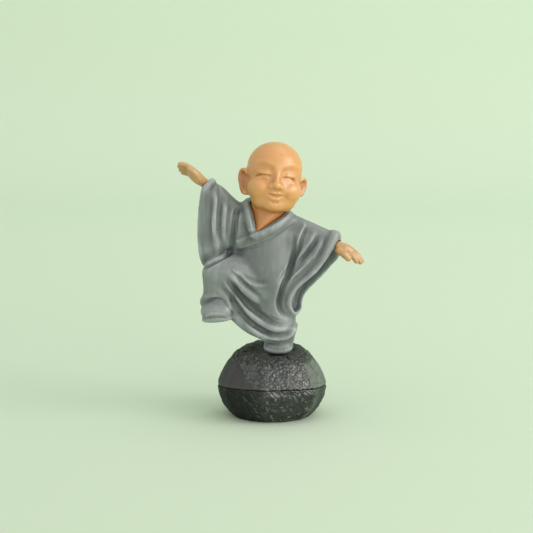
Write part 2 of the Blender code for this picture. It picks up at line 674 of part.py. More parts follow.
# Sideways, depth, height, then half width, half depth and half height
HEAD_BALLS = (
    (0, 1.6, 3.0, 13.0, 13.8, 12.3),
    (0, -0.4, -6.2, 12.4, 11.6, 10.3),
    (6.2, -4.6, -6.6, 6.6, 6.6, 6.2),
    (4.4, -3.4, -10.8, 6.4, 6.4, 5.9),
    (0, -6.4, -12.8, 6.4, 4.6, 4.4),
)
NOSE_BALLS = (
    (0, -11.9, -4.3, 2.3, 2.6, 1.9),
    (2.3, -11.2, -4.9, 1.5, 1.9, 1.4),
    (0, -11.0, -1.4, 1.4, 2.0, 3.8),
)


def on_head(x, y, z):
    """A place on the head; the jaw is set a little to the viewer's right, as the head leans."""
    return HEAD_CENTRE + HEAD_TURN @ Vector((x + JAW_SHIFT * max(0, -z), y, z))


def ear(clay, side, middle, tall):
    """A flat shell that stands a little off the head, with a rolled rim and a long lobe."""
    flare = HEAD_TURN @ Matrix.Rotation(side * math.radians(32), 3, "Z")
    clay.ball(on_head(side * 13.0, 3.6, middle - 0.6 * tall), (2.4, 1.3, 5.8 * tall), flare)
    clay.ball(on_head(side * 11.9, 2.8, middle - tall), (2.2, 1.6, 5.0 * tall), flare)
    rim = (
        (12.6, 1.2, 4.0), (14.0, 2.0, 5.5), (15.2, 3.8, 4.7), (15.6, 4.4, 1.6), (14.9, 3.8, -2.0),
        (13.7, 2.8, -4.6), (12.3, 1.8, -5.4),
    )
    spots = [on_head(side * x, y, middle + z * tall) for x, y, z in rim]
    clay.rope(spots, (0.8, 0.9, 1.0, 0.95, 0.95, 1.2, 1.0))


# Each ear: its side, the height of its middle on the head and how tall it is against the drawn one
EARS = ((-1, -5.2, 1.0), (1, -4.2, 0.72))

# Lines and dents of the face on its own half: across, up. Both halves get them.
FACE_DENTS = (
    ((6.0, 3.2), (5.8, 3.2), -0.65, 0.0),
    ((3.0, 1.6), (2.4, 3.8), -0.55, 0.0),
)
FACE_BUMPS = (
    ((6.3, 0.7), (4.2, 1.8), 0.6, 0.0),
    ((6.6, -5.4), (5.0, 4.2), 0.45, 0.0),
)
FACE_LINES = (
    ([(2.4, -1.1), (4.2, -0.3), (6.4, -0.2), (8.4, -0.8), (10.6, -2.2)], 0.8, -0.62),
    ([(3.2, -2.1), (6.2, -1.5), (9, -2.7)], 0.9, 0.3),
    ([(2, 3.2), (4, 5.0), (6.4, 5.9), (9.2, 5.2), (11, 3.4)], 2.0, 0.18),
)
FACE_TAPER = 0.18
MOUTH_LINES = (
    ([(-4.3, -8.6), (-2, -9.0), (0.6, -9.3), (3, -9.0), (5.3, -8.5)], 0.8, -0.55),
    ([(-2.8, -10.2), (0.6, -10.7), (3.8, -10.2)], 1.4, 0.55),
    ([(-2.8, -8.0), (-0.6, -7.8), (0.6, -8.1), (1.8, -7.8), (3.8, -8.0)], 0.9, 0.35),
    ([(-2.2, -12.1), (0.6, -12.5), (3.2, -12.1)], 1.3, -0.35),
    ([(5.0, -7.6), (5.9, -9.2), (5.7, -11)], 1.5, -0.18),
)


def head_balls(clay, rows):
    """Balls of the head; one that lies off the middle comes on both sides."""
    for x, y, z, w, d, h in rows:
        for side in (-1, 1) if x else (1,):
            clay.ball(on_head(side * x, y, z), (w, d, h), HEAD_TURN)


def head_mesh(grain):
    clay = Clay()
    head_balls(clay, HEAD_BALLS)
    skull = Clay()
    skull.add(fused(clay, 6))
    head_balls(skull, NOSE_BALLS)
    skull.loft(neck_sections())
    for ear_place in EARS:
        ear(skull, *ear_place)
    mesh = regrained(fused(skull, 1, 0.55), grain)
    carver = Carver(mesh, HEAD_TURN, HEAD_CENTRE)
    for side in (-1, 1):
        for (x, z), radii, height, turn in FACE_DENTS + FACE_BUMPS:
            carver.press((side * x, z), radii, height, side * turn)
        for line, width, height in FACE_LINES:
            carver.stroke([(side * x, z) for x, z in line], width, height, taper=FACE_TAPER)
    for line, width, height in MOUTH_LINES:
        carver.stroke(line, width, height)
    return carver.done()


RIGHT_WRIST = (((-27.5, 74.8, -0.6), (-34.2, 79.3, -1.0)), (2.1, 2.4))
LEFT_WRIST = (((21.5, 52, -0.5), (29, 49.8, -1.2)), (2.2, 2.3))


def hand_mesh(grain, wrist_line, wrist_radii, palm, digits):
    """A hand with its wrist plug: a palm of balls and rows of tapered digits."""
    clay = Clay()
    clay.rope([seen(*p) for p in wrist_line], wrist_radii)
    for line, radii in palm + digits:
        clay.rope([seen(*p) for p in line], radii)
    return fused(clay, 2, grain)


RIGHT_PALM = (
    (((-34.6, 79.6, -1.8), (-37, 81.4, -3.2), (-39.6, 84, -3.6)), (2.3, 2.8, 2.4)),
    (((-34.6, 79.6, -0.2), (-37, 81.2, 0), (-39.6, 83.6, -0.6)), (2.3, 2.6, 2.4)),
)
RIGHT_DIGITS = (
    (((-36, 80.8, -4.2), (-38.4, 83.6, -5.4), (-40.8, 85.4, -6.0)), (1.7, 1.8, 1.3)),
    (((-39.2, 85, -2.4), (-42.6, 87.2, -2.8), (-45, 87.6, -3)), (1.5, 1.2, 1.05)),
    (((-39.6, 84.6, -1.0), (-43, 86, -1.6), (-45.4, 86.6, -2)), (1.5, 1.2, 1.05)),
    (((-39.6, 83.6, 0.4), (-43, 84.8, 0), (-44.9, 85.1, -0.4)), (1.5, 1.15, 1.0)),
    (((-39.6, 82.8, 1.8), (-42.4, 83.6, 1.4), (-44, 83.8, 1.2)), (1.4, 1.1, 0.95)),
)
LEFT_PALM = (
    (((28.8, 49.6, -3), (31.5, 48.6, -3.2), (34, 47.4, -3.2)), (2.3, 2.5, 2.0)),
    (((28.8, 49.4, 0), (31.8, 48.8, 0.2), (34.4, 47.6, 0.4)), (2.2, 2.4, 2.0)),
)
LEFT_DIGITS = (
    (((28.8, 47.6, -5), (31.2, 45.9, -6), (33.2, 43.9, -6.2)), (1.9, 1.8, 1.5)),
    (((33.2, 47.3, -4), (35.6, 44.8, -4.6), (37, 42.6, -4.6)), (1.6, 1.4, 1.2)),
    (((34, 47.8, -2), (37.2, 45, -2.4), (39, 42.1, -2.4)), (1.5, 1.3, 1.1)),
    (((34.6, 48.1, 0), (38.2, 45.2, -0.2), (39.9, 42.7, -0.2)), (1.5, 1.2, 1.05)),
    (((34.6, 47.6, 1.8), (37.4, 45.4, 2), (38.8, 43.6, 2)), (1.4, 1.1, 0.95)),
)


# The rock's outline from above: compass corner in degrees, share of its half width
ROCK_CORNERS = (
    (3, 1.0), (22, 0.99), (40, 1.0), (62, 0.97), (86, 1.0), (110, 0.98), (136, 0.99), (158, 0.985),
    (178, 1.0), (196, 0.985), (214, 1.01), (238, 0.975), (261, 1.02), (290, 0.965), (318, 1.05),
    (340, 0.99),
)
# Its profile: share of the height, share of the outline, how much of the corners is rounded off
# and how much of the height the ring rises at the back, where the shoulder climbs behind the foot
ROCK_PROFILE = (
    (0.0, 0.70, 0.8, 0), (0.04, 0.76, 0.8, 0), (0.11, 0.835, 0.6, 0), (0.2, 0.915, 0.4, 0),
    (0.32, 0.975, 0.1, 0), (0.45, 1.0, 0, 0), (0.56, 0.985, 0, 0), (0.68, 0.935, 0.1, 0),
    (0.8, 0.86, 0.2, 0.03), (0.91, 0.76, 0.3, 0.1), (0.97, 0.66, 0.5, 0.14), (1.0, 0.53, 0.5, 0.08),
    (1.0, 0.42, 0.5, 0),
)
SEAM_TILT = math.radians(-6)


def rock_halves(gap=MOULD_GAP):
    """The two halves of the rock by name, split by a slightly tilted seam."""
    form = bmesh.new()
    loops = []
    for height, share, rounding, back_rise in ROCK_PROFILE:
        loop = []
        for angle, corner in ROCK_CORNERS:
            turn = math.radians(angle)
            reach = share * (corner + (1 - corner) * rounding)
            place_x = math.cos(turn) * reach * ROCK_WIDTH / 2
            place_y = math.sin(turn) * reach * ROCK_DEPTH / 2
            place_z = (height + back_rise * max(0, math.sin(turn))) * ROCK_HEIGHT
            loop.append(form.verts.new((place_x, place_y, place_z)))
        loops.append(loop)
    form.faces.new(loops[0][::-1])
    form.faces.new(loops[-1])
    count = len(ROCK_CORNERS)
    for lower, upper in zip(loops, loops[1:]):
        for i in range(count):
            j = (i + 1) % count
            form.faces.new((lower[i], lower[j], upper[j], upper[i]))
    seam = Vector((0, 0, SEAM_HEIGHT))
    facing = Matrix.Rotation(SEAM_TILT, 3, "X") @ Vector((0, 0, 1))
    halves = {}
    for name, side in (("rock_lower", 1), ("rock_upper", -1)):
        half = form.copy()
        cut_edge = bmesh.ops.bisect_plane(
            half, geom=[*half.verts, *half.edges, *half.faces],
            plane_co=seam - facing * side * gap / 2, plane_no=facing * side,
            clear_outer=True,
        )["geom_cut"]
        rim = [part for part in cut_edge if isinstance(part, bmesh.types.BMEdge)]
        bmesh.ops.contextual_create(half, geom=rim)
        bmesh.ops.triangulate(half, faces=half.faces)
        bmesh.ops.recalc_face_normals(half, faces=half.faces)
        halves[name] = bpy.data.meshes.new(name)
        half.to_mesh(halves[name])
        half.free()
    form.free()
    return halves


def in_metres(mesh):
    """The figure's drawing brought to size and stood on the rock."""
    stand = Vector((FOOT_OFFSET, 0, ROCK_HEIGHT + MOULD_GAP))
    mesh.transform(Matrix.Translation(stand) @ Matrix.Diagonal((UNIT, UNIT, UNIT, 1)))
    return mesh


def main():
    for old in list(bpy.data.objects):
        bpy.data.objects.remove(old)
    head = head_mesh(HEAD_GRAIN)
    right = hand_mesh(HAND_GRAIN, *RIGHT_WRIST, RIGHT_PALM, RIGHT_DIGITS)
    left = hand_mesh(HAND_GRAIN, *LEFT_WRIST, LEFT_PALM, LEFT_DIGITS)
    robe = robe_mesh(GRAIN, head, right, left)
    place("robe", in_metres(thinned(robe, ROBE_TRIANGLES)), ROBE_GREY, 0.55)
    place("head", in_metres(thinned(head, HEAD_TRIANGLES)), SKIN, 0.45)
    place("right_hand", in_metres(thinned(right, HAND_TRIANGLES)), SKIN, 0.45)
    place("left_hand", in_metres(thinned(left, HAND_TRIANGLES)), SKIN, 0.45)
    for name, mesh in rock_halves().items():
        place(name, mesh, ROCK_BLACK, 0.4, smooth=False)


main()
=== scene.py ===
"""The miniature monk figurine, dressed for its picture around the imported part.

The forms are those of the part, made in finer faces, with the small carving and the paint
that the part leaves out. The figure is drawn in hundredths of its own height, from the middle
of the standing sole: X to the viewer's right, Y away from the viewer, Z up.
"""

import math

import bmesh
import bpy
import numpy as np
from mathutils import Matrix, Vector, noise
from mathutils.bvhtree import BVHTree


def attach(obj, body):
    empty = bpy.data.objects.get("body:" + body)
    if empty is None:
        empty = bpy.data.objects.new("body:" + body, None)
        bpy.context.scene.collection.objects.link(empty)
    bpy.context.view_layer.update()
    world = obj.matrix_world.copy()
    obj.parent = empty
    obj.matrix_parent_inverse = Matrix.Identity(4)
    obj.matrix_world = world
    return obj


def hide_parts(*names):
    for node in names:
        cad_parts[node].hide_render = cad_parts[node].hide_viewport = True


# Sizes in metres
FIGURE_HEIGHT = 0.064
ROCK_WIDTH = 0.0332
ROCK_DEPTH = 0.0304
ROCK_HEIGHT = 0.0192
SEAM_HEIGHT = 0.0092
MOULD_GAP = 0.0003
SLEEVE_WALL = 0.0009
UPPER_SLEEVE_WALL = 0.0011
FOOT_OFFSET = 0.0015

# The pose was drawn as seen from a little above
VIEW_TILT = math.radians(10)

UNIT = FIGURE_HEIGHT / 100
GAP = MOULD_GAP / UNIT
WALL = SLEEVE_WALL / UNIT
UPPER_WALL = UPPER_SLEEVE_WALL / UNIT

# Fineness of the clay while it is massed and its sockets cut, in hundredths of the height
MASS_GRAIN = 0.8
SOCKET_GRAIN = 0.45


def seen(across, up, depth):
    """The place that shows at (across, up) on the drawing and lies `depth` behind the ankle."""
    return Vector((across, depth, (up - depth * math.sin(VIEW_TILT)) / math.cos(VIEW_TILT)))


def flowing(rows, steps):
    """Rows of numbers read along a smooth curve through them, `steps` times from row to row."""
    rows = np.array(rows, float)
    ends = np.vstack([2 * rows[0] - rows[1], rows, 2 * rows[-1] - rows[-2]])
    read = []
    for i in range(len(rows) - 1):
        a, b, c, d = ends[i : i + 4]
        for t in np.arange(steps) / steps:
            read.append(
                0.5 * (2 * b + (c - a) * t + (2 * a - 5 * b + 4 * c - d) * t**2
                       + (3 * b - a - 3 * c + d) * t**3)
            )
    return np.array([*read, rows[-1]])


def placed(name, data):
    """A new object of the scene that holds the given mesh, lamp or camera."""
    made = bpy.data.objects.new(name, data)
    bpy.context.scene.collection.objects.link(made)
    return made


def points_of(mesh, kind="co"):
    """The mesh's vertex places, or its vertex normals, as rows."""
    read = np.empty(len(mesh.vertices) * 3)
    mesh.vertices.foreach_get(kind, read)
    return read.reshape(-1, 3)


def move_to(mesh, points):
    """Puts the mesh's vertices in the given places."""
    mesh.vertices.foreach_set("co", points.ravel())
    mesh.update()


# The share of a big fold's length over which it rises from the cloth
FOLD_FADE = 0.24

# A rope's readings from point to point, and its points round about
ROPE_STEPS = 5
ROPE_SIDES = 14

# The drawing board's axes: across, into the picture and up
BOARD = Matrix((
    (1, 0, 0),
    (0, math.cos(VIEW_TILT), math.sin(VIEW_TILT)),
    (0, -math.sin(VIEW_TILT), math.cos(VIEW_TILT)),
))


class Clay:
    """Closed shells that are pressed into one another and then fused into one body."""

    def __init__(self):
        self.shells = bmesh.new()

    def ball(self, centre, radii, turn=None):
        """An ellipsoid with the given half axes, turned by a rotation matrix."""
        place = Matrix.Translation(Vector(centre))
        if turn is not None:
            place = place @ turn.to_4x4()
        bmesh.ops.create_uvsphere(
            self.shells, u_segments=32, v_segments=20, radius=1,
            matrix=place @ Matrix.Diagonal((*radii, 1)),
        )

    def loft(self, sections, steps=5, sides=28, round_ends=(1, 1)):
        """A body through elliptical sections, each a centre, one half axis and the other."""
        rows = flowing([[*c, *a, *b] for c, a, b in sections], steps)
        rings = [(row[0:3], row[3:6], row[6:9]) for row in rows]
        rings = [*dome(rings, 0, round_ends[0])[::-1], *rings, *dome(rings, -1, round_ends[1])]
        angles = 2 * math.pi * np.arange(sides) / sides
        self.skin([
            centre + np.outer(np.cos(angles), first) + np.outer(np.sin(angles), second)
            for centre, first, second in rings
        ])

    def rope(self, path, radii):
        """A round cord through the points, its ends domed, with one radius or one for each."""
        radii = np.broadcast_to(radii, len(path))
        rows = flowing([[*p, r] for p, r in zip(path, radii)], ROPE_STEPS)
        self.loft(around(rows[:, :3], rows[:, 3], rows[:, 3]), steps=1, sides=ROPE_SIDES)

    def cord(self, spots, radii):
        """A rope through spots of the drawing, each across, up and depth."""
        self.rope([seen(*spot) for spot in spots], radii)

    def skin(self, rings):
        """A body through rings of points, closed with a fan at each end."""
        loops = [[self.shells.verts.new(p) for p in ring] for ring in rings]
        sides = len(loops[0])
        for lower, upper in zip(loops, loops[1:]):
            for i in range(sides):
                j = (i + 1) % sides
                self.shells.faces.new((lower[i], lower[j], upper[j], upper[i]))
        for loop, ring, flip in ((loops[0], rings[0], True), (loops[-1], rings[-1], False)):
            tip = self.shells.verts.new(np.mean(ring, axis=0))
            for i in range(sides):
                corner = (loop[i], loop[(i + 1) % sides], tip)
                self.shells.faces.new(corner[::-1] if flip else corner)

    def add(self, mesh):
        self.shells.from_mesh(mesh)

    def fold(self, carver, line, radius, rise):
        """A cord sunk in the carved surface so that it stands out by `rise`, less at its ends."""
        path, normals = carver.laid(line)
        share = np.linspace(0, 1, len(path))
        fade = np.clip(np.minimum(share, 1 - share) / FOLD_FADE, 0, 1)
        radii = radius - rise * (1 - fade)
        line = path - normals * (radius - rise)
        self.loft(around(line, radii, radii), steps=1, sides=ROPE_SIDES)

    def mesh(self, name):
        bmesh.ops.recalc_face_normals(self.shells, faces=self.shells.faces)
        made = bpy.data.meshes.new(name)
        self.shells.to_mesh(made)
        self.shells.free()
        return made


def dome(rings, end, roundness):
    """Three shrinking rings beyond one end of a loft, which round it off."""
    centre, first, second = rings[end]
    inner = rings[1 if end == 0 else -2][0]
    out = centre - inner
    out = out / max(np.linalg.norm(out), 1e-9)
    reach = roundness * min(np.linalg.norm(first), np.linalg.norm(second))
    turns = [math.radians(a) for a in (30, 57, 80)]
    return [
        (centre + out * reach * math.sin(t), first * math.cos(t), second * math.cos(t))
        for t in turns
    ]


def around(line, first_radii, second_radii):
    """Sections square to a line of points, carried along it without twist."""
    along = np.gradient(line, axis=0)
    along /= np.linalg.norm(along, axis=1)[:, None]
    side = np.cross(along[0], (0.3, 1, 0.2))
    sections = []
    for point, way, first, second in zip(line, along, first_radii, second_radii):
        side = side - way * side.dot(way)
        side /= np.linalg.norm(side)
        sections.append((point, side * first, np.cross(way, side) * second))
    return sections


def modified(mesh, *modifiers):
    """The mesh after a stack of modifiers, each a type and its settings."""
    holder = placed("holder", mesh)
    for kind, settings in modifiers:
        modifier = holder.modifiers.new(kind, kind)
        for key, value in settings.items():
            setattr(modifier, key, value)
    graph = bpy.context.evaluated_depsgraph_get()
    made = bpy.data.meshes.new_from_object(holder.evaluated_get(graph))
    bpy.data.objects.remove(holder)
    return made


def fused(clay, softness, grain=MASS_GRAIN):
    """The clay's shells as one closed smooth skin, its creases softened."""
    return modified(
        clay.mesh("clay"),
        ("REMESH", {"mode": "VOXEL", "voxel_size": grain}),
        ("SMOOTH", {"factor": 0.5, "iterations": softness}),
        ("SUBSURF", {"levels": 1, "render_levels": 1}),
    )


def regrained(mesh, grain, softness=2):
    """The same skin in even small faces, ready for carving."""
    return modified(
        mesh,
        ("REMESH", {"mode": "VOXEL", "voxel_size": grain}),
        ("SMOOTH", {"factor": 0.5, "iterations": softness}),
    )


def cut(mesh, *cutters):
    """The mesh less each cutter, which is another mesh."""
    for cutter in cutters:
        tool = placed("cutter", cutter)
        mesh = modified(
            mesh, ("BOOLEAN", {"operation": "DIFFERENCE", "object": tool, "solver": "EXACT"})
        )
        bpy.data.objects.remove(tool)
    return mesh


def whole(mesh):
    """The largest connected body of the mesh, without crumbs left by the cuts."""
    form = bmesh.new()
    form.from_mesh(mesh)
    left = set(form.verts)
    bodies = []
    while left:
        body, front = set(), [left.pop()]
        while front:
            vert = front.pop()
            body.add(vert)
            for edge in vert.link_edges:
                other = edge.other_vert(vert)
                if other in left:
                    left.remove(other)
                    front.append(other)
        bodies.append(body)
    largest = max(bodies, key=len)
    crumbs = [v for v in form.verts if v not in largest]
    bmesh.ops.delete(form, geom=crumbs, context="VERTS")
    form.to_mesh(mesh)
    form.free()
    return mesh


# A surface that leans away from the drawing by more than this isn't carved
MOST_AWAY = 0.4
# How wide a raised band's edge is, and over which share of its length it rises
BAND_EDGE = 0.7
BAND_TAPER = 0.06


class Carver:
    """Raises ridges and sinks furrows in a mesh, along lines drawn on its front or back.

    The drawing's axes are the columns of `view`: across, into the picture and up.
    """

    def __init__(self, mesh, view=BOARD, centre=(0, 0, 0)):
        self.mesh = mesh
        self.centre = Vector(centre)
        self.view = view
        self.points = points_of(mesh)
        self.normals = points_of(mesh, "normal")
        self.tree = BVHTree.FromPolygons(
            [Vector(p) for p in self.points], [tuple(f.vertices) for f in mesh.polygons]
        )

    def laid(self, line, back=False, steps=6):
        """Points and normals of the surface under a line drawn on the front, or the back."""
        across, way, upward = (self.view.col[i] for i in range(3))
        if back:
            way = -way
        places, normals = [], []
        for x, up in flowing(line, steps):
            start = self.centre + across * x + upward * up - way * 100
            hit, normal, _, _ = self.tree.ray_cast(start, way)
            if hit is not None:
                places.append(hit)
                normals.append(normal)
        return np.array(places), np.array(normals)

    def under(self, spot):
        """The point of the surface under one spot drawn on the front."""
        beside = (spot[0] + 0.01, spot[1])
        return self.laid([spot, beside], steps=1)[0][0]

    def near(self, line, reach, back=False):
        """The points within reach of a laid line: their index, distance and share along it."""
        path, _ = self.laid(line, back)
        if len(path) < 2:
            return np.array([], int), np.array([]), np.array([])
        inside = (self.points > path.min(0) - reach) & (self.points < path.max(0) + reach)
        index = np.flatnonzero(np.all(inside, axis=1))
        spots = self.points[index]
        nearest = np.full(len(index), np.inf)
        share = np.zeros(len(index))
        for i, (a, b) in enumerate(zip(path, path[1:])):
            span = b - a
            t = np.clip((spots - a) @ span / max(span @ span, 1e-9), 0, 1)
            distance = np.linalg.norm(spots - a - t[:, None] * span, axis=1)
            closer = distance < nearest
            nearest[closer] = distance[closer]
            share[closer] = (i + t[closer]) / (len(path) - 1)
        return index, nearest, share

    def raise_by(self, index, amount, back=False):
        """Moves points out along their normals, but none that faces away from the drawing."""
        facing = self.normals[index]
        towards = facing @ np.array(self.view.col[1]) * (-1 if back else 1)
        self.points[index] += facing * (amount * (towards < MOST_AWAY))[:, None]

    def press(self, centre, radii, height):
        """A soft oval bump on the front, or a dent where the height is below 0."""
        offset = self.points - self.under(centre)
        across, depth, up = (offset @ np.array(self.view.col[i]) for i in range(3))
        sizes = (radii[0], radii[1], 2 * max(radii))
        far = np.sqrt(sum((part / size) ** 2 for part, size in zip((across, up, depth), sizes)))
        index = np.flatnonzero(far < 1)
        self.raise_by(index, height * (0.5 + 0.5 * np.cos(math.pi * far[index])))

    def stroke(self, line, width, height, back=False, taper=0.3):
        """A rounded ridge, or a furrow where the height is below 0, that fades at both ends."""
        index, nearest, share = self.near(line, width, back)
        fade = np.clip(np.minimum(share, 1 - share) / taper, 0, 1)
        profile = 0.5 + 0.5 * np.cos(math.pi * np.clip(nearest / width, 0, 1))
        self.raise_by(index, height * fade * fade * (3 - 2 * fade) * profile, back)

    def strokes(self, rows, **how):
        """The strokes of a table, each a line, a half width and a height."""
        for line, width, height in rows:
            self.stroke(line, width, height, **how)

    def band(self, line, width, height):
        """A flat raised strip with steep edges."""
        index, nearest, share = self.near(line, width + BAND_EDGE)
        rise = np.clip((width + BAND_EDGE / 2 - nearest) / BAND_EDGE, 0, 1)
        fade = np.clip(np.minimum(share, 1 - share) / BAND_TAPER, 0, 1)
        self.raise_by(index, height * fade * rise * rise * (3 - 2 * rise))

    def done(self):
        """The carved mesh, its sharpest edges eased."""
        move_to(self.mesh, self.points)
        return modified(self.mesh, ("SMOOTH", {"factor": 0.4, "iterations": 1}))


def uprights(rows):
    """Level sections from rows of across, up, depth, half width and half depth."""
    return [(seen(x, v, y), Vector((w, 0, 0)), Vector((0, d, 0))) for x, v, y, w, d in rows]


def torso(clay):
    rows = (
        (-3.3, 22, 1, 12.0, 9.5),
        (-5.0, 38, -1.5, 13.8, 11.5),
        (-5.0, 51, 0, 13.6, 10.2),
        (-4.3, 61, 1, 13.2, 8.6),
        (-3.9, 67, 2, 9.0, 6.5),
    )
    clay.loft(uprights(rows))
    rim = (
        (-14.2, 70, -1), (-13.3, 64, -6), (-12.1, 58.4, -8), (-10.6, 54.6, -8.6), (-4.8, 56.5, -8.8),
        (0.8, 59.8, -7.4), (5.2, 64, -2.5), (5.4, 65.6, 3.5), (0, 69.5, 8), (-8, 71.5, 8), (-13.4, 71.2, 5),
        (-14.2, 70, -1),
    )
    clay.cord(rim, 1.6)


# Each sleeve is drawn as loops from the shoulder to the mouth. A loop starts at its top,
# runs down the front, round the lowest point and up the back.
RIGHT_SLEEVE = (
    ((-9, 67, 2), (-11, 63, -6), (-13, 58, -7), (-14, 52, -7), (-14, 48, -5.5), (-13, 46, 0),
     (-14, 49, 5), (-14, 53, 6.5), (-13, 58, 7.5), (-11, 63, 6.5)),
    ((-17, 69.6, 1), (-20, 65, -6.5), (-22, 59, -7.6), (-23, 52.5, -7.6), (-23, 47.8, -6.5),
     (-22, 45.8, -1.5), (-22.5, 48, 4.5), (-23, 53, 6.5), (-22, 60, 7), (-19.5, 65, 6)),
    ((-24.2, 75, 0), (-27.5, 71, -6.5), (-29.5, 64, -7.8), (-30.5, 54.5, -8), (-30, 46.5, -7.4),
     (-28.5, 43, -2.5), (-29.5, 47, 4), (-30, 55, 6), (-29, 64, 6), (-26.5, 71, 5)),
    ((-30, 80.4, -0.5), (-33.4, 76.6, -5.8), (-35.3, 69.5, -6.4), (-36.1, 58, -6.8),
     (-35.6, 46.5, -6.4), (-34, 40.4, -2), (-34.5, 46, 3), (-35, 57, 4.5), (-34.2, 68.5, 4.8),
     (-32.4, 76.6, 4.4)),
)
LEFT_SLEEVE = (
    ((5, 63, 2), (4, 58, -5.5), (3.5, 50, -6.5), (2, 41, -6), (1, 34, -4), (1, 30, 0),
     (1, 34, 4), (2, 41, 6), (3.5, 50, 7), (4.5, 58, 6.5)),
    ((14, 60.8, 1), (12.5, 54.5, -6.5), (9.8, 46, -7.8), (6, 37, -8), (3.4, 28, -7.5),
     (4.5, 22, -2), (6, 26, 4.5), (8, 33, 6.5), (11, 43, 7.5), (13.5, 54, 6.5)),
    ((21.5, 57, 0), (18.4, 51, -6.8), (13.4, 41, -8.6), (6.4, 32.6, -8.8), (3.4, 24.5, -8.2),
     (5.2, 18.6, -3.5), (8.5, 20.5, 3), (10.5, 28, 5.5), (17.5, 39, 6.5), (22.5, 50, 5.5)),
    ((27.2, 55.4, -1), (23.3, 48.2, -6.5), (18.4, 39.4, -8.8), (8.6, 30.6, -9.6),
     (5.2, 22.8, -9.4), (7.6, 17.6, -4.5), (11.3, 20, 2), (13, 27.1, 4.5), (24.2, 39, 5),
     (28.6, 46.8, 3.5)),
)
SLEEVE_STEPS = 6
SLEEVE_SIDES = 60
FRONT_LIP = 1.3
BACK_LIP = 0.7
# Where along the ring the lip is full, thins out under the sleeve, is thin and fills up again
LIP_TURNS = (0, 0.46, 0.64, 0.92, 1)
# The top part of a sleeve's ring that holds the wrist, and how much thicker its wall is there
WRIST_SHARE = 0.17
WRIST_SEAT = 1.6


def stacked(loops):
    """Dense rings of points through a sleeve's drawn loops."""
    rings = []
    for loop in loops:
        placed = [seen(*p) for p in loop]
        closed = [placed[-2], placed[-1], *placed, placed[0], placed[1]]
        line = flowing(closed, 12)[24:-12]
        steps = np.linspace(0, len(line) - 1, SLEEVE_SIDES, endpoint=False)
        rings.append(line[np.round(steps).astype(int)].ravel())
    return flowing(rings, SLEEVE_STEPS).reshape(-1, SLEEVE_SIDES, 3)


def inward(ring):
    """The direction into a ring at each of its points, in the ring's own plane."""
    along = np.roll(ring, -1, axis=0) - np.roll(ring, 1, axis=0)
    spokes = ring - ring.mean(0)
    plane = np.cross(spokes, np.roll(spokes, -1, axis=0)).sum(0)
    into = np.cross(plane, along)
    return into / np.linalg.norm(into, axis=1)[:, None]


def over_wrist():
    """How near each point of a sleeve's ring lies to its top, where the wrist comes out."""
    turn = np.arange(SLEEVE_SIDES) / SLEEVE_SIDES
    return np.clip(1 - np.minimum(turn, 1 - turn) / WRIST_SHARE, 0, 1) ** 0.7


def hollow(rings, depth, wall):
    """A cutter that opens the mouth of a sleeve, `depth` rings deep, and spares the wrist's seat."""
    thickness = wall + WRIST_SEAT * over_wrist()
    inner = [ring + inward(ring) * thickness[:, None] for ring in rings[-depth:]]
    out = inner[-1].mean(0) - inner[-3].mean(0)
    out /= np.linalg.norm(out)
    ends = [inner[0].mean(0) + (inner[0] - inner[0].mean(0)) * s - out * d
            for s, d in ((0.35, 1.6), (0.75, 1.0))]
    clay = Clay()
    clay.skin([*ends, *inner, inner[-1] + out * 3, inner[-1] + out * 6])
    return modified(clay.mesh("hollow"), ("REMESH", {"mode": "VOXEL", "voxel_size": SOCKET_GRAIN}))


def sleeves(clay):
    clay.cord(((-9, 62.5, 1), (-19, 65.5, 0), (-28, 75, -1)), (6.5, 5.0, 3.8))
    clay.cord(((4, 60, 1), (15, 56.5, 0), (25, 53, -1)), (6.0, 4.8, 3.8))
    for loops in (RIGHT_SLEEVE, LEFT_SLEEVE):
        clay.skin(stacked(loops))


def cuff(clay, loops, wall, top_swell):
    """The rolled lip round a sleeve's mouth, thickest over the wrist."""
    rings = stacked(loops)
    mouth = rings[-1] + inward(rings[-1]) * wall / 2
    turn = np.arange(SLEEVE_SIDES) / SLEEVE_SIDES
    lip = np.interp(turn, LIP_TURNS, (FRONT_LIP, FRONT_LIP, BACK_LIP, BACK_LIP, FRONT_LIP))
    swell = lip + top_swell * over_wrist()
    closed = np.vstack([mouth, mouth[:1]])
    swell = np.append(swell, swell[0])
    clay.loft(around(closed, swell, swell), steps=1, sides=12, round_ends=(0.2, 0.2))


def skirt(clay):
    standing = (
        (-4.5, 30, 0, 12.5, 10),
        (-1.5, 19, -0.5, 10.2, 9.4),
        (0.6, 12, -1, 8.5, 8.7),
        (1.0, 8.2, -1, 7.8, 7.5),
    )
    clay.loft(uprights(standing))
    clay.cord(((-7, 30, -2), (-18, 37, -5.5), (-26.2, 37.8, -8)), (10, 9, 8.5))
    shin = (
        (-26.6, 38, -8, 8.6, 8),
        (-27.0, 31, -7.4, 7.5, 7.4),
        (-27.6, 26.6, -7.2, 7.0, 6.6),
    )
    clay.loft(uprights(shin), round_ends=(0.4, 0.1))
    clay.cord(((-22, 33, -3), (-14, 22, -1.5), (-5, 14, -1)), (6.5, 6.6, 7.2))
    for depth, inset in ((-7.4, 0), (-4, 0.3), (0, 0.6), (4, 1.0), (7, 2.0)):
        clay.cord([(x + inset / 2, v + inset, depth) for x, v in HEM], 2.0)
    clay.ball(seen(6.2, 10.4, -3.4), (3.0, 4.4, 4.5))
    clay.cord(FOOT_HEM, 1.35)
    clay.ball(seen(-34.6, 23.8, -8), (1.7, 3.0, 2.4))


